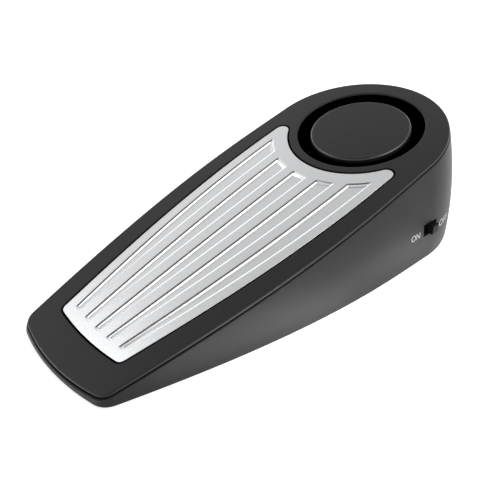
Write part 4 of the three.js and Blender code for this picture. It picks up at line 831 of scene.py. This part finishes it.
def coverPatches():
    # rings carried round the outline, the plate's opening and the well, with flat faces above and below
    outline = caseLoop / [math.cos(slope), 1]
    outlineNormals = planeNormals(outline, True)
    openingLoop = plateLoop + plate["gap"] * plateNormals
    angles = np.linspace(0, 2 * math.pi, cover["wellPoints"], endpoint=False)
    circle = np.stack([np.cos(angles), np.sin(angles)], 1)
    well, tube = circle * cover["wellRadius"], circle * (cover["wellRadius"] + cover["wellWall"])
    flangeW, panelW, rows = wedge["flangeW"], cover["panelW"], cover["roundRows"]
    outer = roundedEdge(outline, outlineNormals, cover["edgeRound"], -1, rows)
    band = nextBand(outer, outline, outlineNormals, 0, flangeW)
    under = nextBand(band, outline, outlineNormals, -cover["panelInset"], flangeW)
    panel = nextBand(under, outline, outlineNormals, -cover["panelInset"], panelW)
    mouth = roundedEdge(openingLoop, plateNormals, cover["openingRound"], 1, rows)
    mouthWall = nextBand(mouth, openingLoop, plateNormals, 0, panelW)
    wellRim = roundedEdge(well, circle, cover["wellRound"], 1, rows)
    wellWall = nextBand(wellRim, well, circle, 0, -cover["wellDepth"])
    wellFoot = nextBand(wellWall, tube, circle, 0, -cover["wellDepth"])
    wellOuter = nextBand(wellFoot, tube, circle, 0, panelW)
    above = flatPatch([outer[0], mouth[0], wellRim[0]], faceUp)
    outside = [gridPatch(rings, flip=True) for rings in (outer, band, under, panel)]
    openings = [gridPatch(rings) for rings in (mouth, mouthWall, wellRim)]
    wellWalls = [gridPatch(rings) for rings in (wellWall, wellFoot, wellOuter)]
    below = flatPatch([panel[-1], mouthWall[-1], wellOuter[-1]], -faceUp)
    # the outer edge has a finish of its own, and the well's walls one of near black painted as shade
    return [above, *outside, *openings, *wellWalls, below], [0, 2] + [0] * 6 + [1] * 3 + [0]


coverSurfaces, coverFinish = coverPatches()
buildPiece("cover_face", coverSurfaces, "case", [caseAbs, wellShadeBlack, edgeAbs], ["top_cover"],
           coverFinish)


# Slide knob: a block with rounded upright edges and a rounded face, between the corners of its CAD solid
knob = dict(cornerRound=0.2, crown=0.2, rows=6)


def knobPatches():
    # rings from the track out to the face, drawn in by a quarter turn at the end
    low, high = (np.array(corner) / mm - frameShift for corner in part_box("switch_knob"))
    middle, half = (low + high) / 2, (high - low) / 2
    turn = np.linspace(0, math.pi / 2, knob["rows"])
    insets = np.concatenate([[0], knob["crown"] * (1 - np.cos(turn))])
    depths = np.concatenate([[high[1]], low[1] + knob["crown"] * (1 - np.sin(turn))])
    rings = []
    for inset, depth in zip(insets, depths):
        loop = roundedLoop(half[0] - inset, half[2] - inset, knob["cornerRound"])
        x, z = middle[0] + loop[:, 0], middle[2] + loop[:, 1]
        rings.append(np.column_stack([x, np.full(len(loop), depth), z]))
    rings = np.stack(rings)
    return [gridPatch(rings), flatPatch([rings[0]], (0, 1, 0)), flatPatch([rings[-1]], (0, -1, 0))]


# the knob's darker colour is painted shade
buildPiece("slide_knob_cap", knobPatches(), "slide_knob", [shadeDarkKnob], ["switch_knob"])


# ON and OFF on the near wall, as thin prints; each box is (low x, high x, low z, high z)
prints = dict(lift=0.02, sunk=0.05, rounds=8, weldSteps=1e5,
              words=dict(ON=(-13.3, -9.2, 9.8, 11.8), OFF=(0.9, 6.9, 9.3, 11.5)))


def wallPoints(x, z, out):
    # the outline's point under x is found by stepping back along the normal by the flare, a few times over
    normals = planeNormals(halfOutline, False)
    base = x
    for _ in range(prints["rounds"]):
        nx, ny = (np.interp(base, halfOutline[:, 0], normals[:, k]) for k in (0, 1))
        lean = flare(faceZ(base) - z) + out
        base = x - lean * nx
    return np.stack([x, np.interp(base, halfOutline[:, 0], halfOutline[:, 1]) + lean * ny, z], -1)


def flatWord(word):
    # the font's filled outline as welded points and triangles
    data = bpy.data.curves.new(word, "FONT")
    data.body = word
    source = addObject(word, data)
    mesh = source.to_mesh()
    mesh.calc_loop_triangles()
    points = np.zeros(3 * len(mesh.vertices))
    mesh.vertices.foreach_get("co", points)
    faces = np.zeros(3 * len(mesh.loop_triangles), int)
    mesh.loop_triangles.foreach_get("vertices", faces)
    source.to_mesh_clear()
    bpy.data.objects.remove(source)
    bpy.data.curves.remove(data)
    flat = points.reshape(-1, 3)[:, :2]
    first, weld = weldPoints(flat, prints["weldSteps"])
    faces = weld[faces].reshape(-1, 3)
    faces = faces[(faces != np.roll(faces, 1, 1)).all(1)]
    return flat[first], faces


def printPatches(word, box):
    # the word stretched over its box and laid on the wall, with a back under the skin and walls between
    flat, faces = flatWord(word)
    flat = (flat - flat.min(0)) / np.ptp(flat, axis=0)
    x, z = box[0] + (box[1] - box[0]) * flat[:, 0], box[2] + (box[3] - box[2]) * flat[:, 1]
    face, back = wallPoints(x, z, prints["lift"]), wallPoints(x, z, -prints["sunk"])
    edges = np.concatenate([faces[:, [k, (k + 1) % 3]] for k in range(3)])
    single = ~(edges[:, None] == edges[None, :, ::-1]).all(2).any(1)
    a, b = edges[single].T
    count = len(flat)
    sides = np.stack([b, a, a + count, b + count], 1)
    both = np.concatenate([face, back])
    surfaces = (face, faces), (back, faces[:, ::-1]), (both, sides)
    return [(points, corners, softNormals(points, corners)) for points, corners in surfaces]


for word, box in prints["words"].items():
    buildPiece("print_" + word.lower(), printPatches(word, box), "case", [whiteInk])


# Return springs: wound wire with a closed curl at each end
spring = dict(x=-30.5, y=18.0, bottomZ=9.0, topZ=18.6, coil=2.8, wire=0.6, curls=6, endPitch=0.72,
              closedCurls=0.6, easeCurls=0.5, perCurl=40, sides=12, aside=(0, 0, 1), keep=0.895)


def springPath(y):
    # a helix whose pitch eases from nearly closed at the ends to whatever fills the height between
    turns = np.linspace(0, spring["curls"], spring["curls"] * spring["perCurl"] + 1)
    fromEnd = np.minimum(turns, spring["curls"] - turns)
    share = np.clip((fromEnd - spring["closedCurls"]) / spring["easeCurls"], 0, 1)
    share = share * share * (3 - 2 * share)
    rise = spring["topZ"] - spring["bottomZ"] - spring["wire"]
    mean = share.mean()
    openPitch = (rise / spring["curls"] - spring["endPitch"] * (1 - mean)) / mean
    pitch = spring["endPitch"] + (openPitch - spring["endPitch"]) * share
    climb = np.append(0, np.cumsum((pitch[1:] + pitch[:-1]) / 2))
    z = spring["bottomZ"] + spring["wire"] / 2 + rise * climb / climb[-1]
    angles = 2 * math.pi * turns
    x = spring["x"] + spring["coil"] * np.cos(angles)
    return np.stack([x, y + spring["coil"] * np.sin(angles), z], 1)


for side, name in ((1, "left"), (-1, "right")):
    y = side * spring["y"]
    patches = tubePatches(springPath(y), spring["wire"] / 2, spring["sides"], spring["aside"])
    coil = buildPiece("wound_spring_" + name, patches, "case", [springSteel],
                      ["return_spring_" + name])
    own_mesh(coil)


# Leads: insulated wire through the same points as the CAD solids
lead = dict(radius=0.6, steps=90, sides=14, aside=(1, 1, 1), batteryY=6.35)
batteryRoute = ((-30.6, 11.35), (-32.4, 11.35), (-37.7, 11.35), (-43.6, 10.275), (-44.8, 9.2), (-44.8, 6.8))
leadRoutes = dict(
    battery_lead_red=[(x, lead["batteryY"], z) for x, z in batteryRoute],
    battery_lead_black=[(x, -lead["batteryY"], z) for x, z in batteryRoute],
    sounder_lead_red=[(5.421, 5, 26.407), (5.906, 5, 24.466), (4.706, 10.525, 23.866),
                      (-2.074, 16.05, 15.725), (-22.1, 16.05, 11.35), (-30.5, 12.2, 11.35),
                      (-41.1, 11.6, 10.75), (-44.8, 11.6, 9.2), (-44.8, 11.6, 6.8)],
    sounder_lead_black=[(-1.418, 9.8, 24.902), (-0.885, 9.8, 22.768), (-2.085, 13.725, 22.168),
                        (-8.865, 17.65, 15.725), (-22.1, 17.65, 11.35), (-30.5, 13.8, 11.35),
                        (-41.1, 14.6, 10.75), (-44.8, 14.6, 9.2), (-44.8, 14.6, 6.8)],
    switch_lead_red=[(-7, -25.48, 9.6), (-7, -23.68, 9.6), (-9.4, -22.9, 9.6), (-30.5, -22.9, 9.6),
                     (-41.1, -15.65, 9.6), (-44, -9.2, 9.5), (-44.75, -8.4, 8.3), (-44.8, -8.4, 6.8)],
    switch_lead_black=[(-1, -25.48, 13.2), (-1, -23.68, 13.2), (-3.4, -22.9, 13.2), (-30.5, -22.9, 13.2),
                       (-41.1, -16.85, 13.2), (-44.2, -10.8, 12.6), (-44.8, -10.8, 9.2), (-44.8, -10.8, 6.8)],
)
for name, route in leadRoutes.items():
    colour = name.split("_")[-1]
    patches = tubePatches(smoothPath(route, lead["steps"]), lead["radius"], lead["sides"], lead["aside"])
    buildPiece(name.replace("lead", "wire"), patches, "case",
               [redVinyl if colour == "red" else blackVinyl], [name])


# CAD nodes that keep their shape get their own finishes
finishes = dict(
    black_case=caseAbs, inner_plastic=innerAbs, plate_metal=plateMetal, steel=zincSteel,
    foot_rubber=padRubber, sounder_brass=rolledBrass, board=boardMask, plunger_plastic=redAcetal,
    coil_wire=coilWire, capacitor_sleeve=sleeveVinyl, battery_jacket=jacketTin, lead_red=redVinyl,
    lead_black=blackVinyl,
)
for part in frame["record"]["subparts"]:
    node = nodes[part["node"]]
    # the siren's base down in the well takes the same painted shade as the well's walls
    finish = wellShadeBlack if part["node"] == "siren_base" else finishes[part["material_slot"]]
    for place in node.material_slots:
        place.material = finish


# Camera, floor and light, in metres; the roof begins and ends at two heights of a ray's direction
studio = dict(fill=0.45, paper="#e6e6e6", floorGlow=0.74, floorHalf=1.0, roofFrom=0.81, roofTo=0.89,
              roofShade=0.04)
# soft boxes: azimuth from +x towards +y, elevation, distance, size and watts
softBoxes = dict(
    tip_box=(118, 45, 1.0, 0.45, 1.35), side_box=(-64, 24, 0.8, 0.8, 3.2), rear_box=(12, 14, 0.8, 0.3, 0.8),
    back_box=(68, 20, 1.0, 0.5, 0.75), key_box=(-78, 60, 1.0, 0.7, 4.0),
)
# strips that hang low by the near wall and the nose and light only the floor that wall and nose mirror:
# where each one's middle is, its length, width and watts
floorStrips = dict(
    tip_strip=(-0.030, -0.050, 0.015, 0.06, 0.020, 0.038),
    rear_strip=(0.025, -0.047, 0.010, 0.05, 0.012, 0.007),
    nose_strip=(-0.084, 0.004, 0.0045, 0.014, 0.05, 0.011),
)
stripSpread = 120
# the eye and the target are in millimetres
view = dict(eye=(-111.775, -116.343, 114.045), target=(0.2644, 6.0742, 0.8), lens=46.10, sensor=36, near=0.01)


def facing(place, aim):
    # the rotation of a camera or a lamp at place that looks at aim
    return (Vector(aim) - Vector(place)).to_track_quat("-Z", "Y").to_euler()


def addCamera():
    # a camera at the eye, turned to look at the target
    data = bpy.data.cameras.new("camera")
    data.lens = view["lens"]
    data.sensor_width = view["sensor"]
    data.clip_start = view["near"]
    camera = addObject("camera", data)
    camera.location = Vector(view["eye"]) * mm
    camera.rotation_euler = facing(view["eye"], view["target"])
    bpy.context.scene.camera = camera


def combined(tree, operation, a, b):
    # two values through one operation
    return addNode(tree, "ShaderNodeMath", dict(operation=operation), i0=a, i1=b)


def seenRays(tree):
    # 1 for rays from the camera, a mirror or glass, which see the plain backdrop
    path = addNode(tree, "ShaderNodeLightPath")
    both = combined(tree, "MAXIMUM", (path, "Is Camera Ray"), (path, "Is Glossy Ray"))
    return combined(tree, "MAXIMUM", (both, 0), (path, "Is Transmission Ray"))


def addWorld():
    # white for the rays that see it and the fill for the rest
    world = bpy.data.worlds.new("studio")
    bpy.context.scene.world = world
    tree = emptyTree(world)
    seen = seenRays(tree)
    strength = addNode(tree, "ShaderNodeMapRange", i0=(seen, 0), i1=0.0, i2=1.0, i3=studio["fill"], i4=1.0)
    # the tent's roof is greyer than its sides, in what the object mirrors and in the light that falls on it
    path = addNode(tree, "ShaderNodeLightPath")
    way = addNode(tree, "ShaderNodeTexCoord")
    height = addNode(tree, "ShaderNodeSeparateXYZ", Vector=(way, "Generated"))
    roof = addNode(tree, "ShaderNodeMapRange", i0=(height, 2), i1=studio["roofFrom"], i2=studio["roofTo"],
                   i3=1.0, i4=studio["roofShade"])
    plain = combined(tree, "MAXIMUM", (roof, 0), (path, "Is Camera Ray"))
    both = combined(tree, "MULTIPLY", (strength, 0), (plain, 0))
    sky = addNode(tree, "ShaderNodeBackground", Color=(1, 1, 1, 1), Strength=(both, 0))
    addNode(tree, "ShaderNodeOutputWorld", Surface=(sky, "Background"))


def addFloor():
    # a paper sweep: a diffuse surface that takes the shadow, with a glow for the rays that see it, so that it
    # shows white
    material = bpy.data.materials.new("white_paper_sweep")
    tree = emptyTree(material)
    paper = addNode(tree, "ShaderNodeBsdfDiffuse", Color=linear(studio["paper"]))
    glow = addNode(tree, "ShaderNodeEmission", Color=(1, 1, 1, 1), Strength=studio["floorGlow"])
    lit = addNode(tree, "ShaderNodeAddShader", i0=(paper, 0), i1=(glow, 0))
    mixed = addNode(tree, "ShaderNodeMixShader", i0=(seenRays(tree), 0), i1=(paper, 0), i2=(lit, 0))
    addNode(tree, "ShaderNodeOutputMaterial", Surface=(mixed, 0))
    mesh = bpy.data.meshes.new("floor")
    half = studio["floorHalf"]
    mesh.from_pydata([(-half, -half, 0), (half, -half, 0), (half, half, 0), (-half, half, 0)], [],
                     [(0, 1, 2, 3)])
    mesh.materials.append(material)
    addObject("floor", mesh)


def addLamp(name, place, aim, size, watts, spreadDegrees=180, width=None):
    # a soft box at place, turned to face aim; the camera sees the light it gives, but not the box
    data = bpy.data.lights.new(name, "AREA")
    data.shape = "RECTANGLE"
    data.size = size
    data.size_y = width or size
    data.energy = watts
    data.spread = math.radians(spreadDegrees)
    lamp = addObject(name, data)
    lamp.location = place
    lamp.rotation_euler = facing(place, aim)
    lamp.visible_camera = False


addCamera()
addWorld()
addFloor()
for name, (azimuth, elevation, distance, size, watts) in softBoxes.items():
    azimuth, elevation = math.radians(azimuth), math.radians(elevation)
    place = (distance * math.cos(azimuth) * math.cos(elevation),
             distance * math.sin(azimuth) * math.cos(elevation), distance * math.sin(elevation))
    addLamp(name, place, (0, 0, 0), size, watts)
for name, (x, y, z, length, width, watts) in floorStrips.items():
    addLamp(name, (x, y, z), (x, y, 0), length, watts, stripSpread, width)
bpy.context.scene.view_settings.view_transform = "Standard"
print("camera, floor and", len(softBoxes) + len(floorStrips), "lamps set")
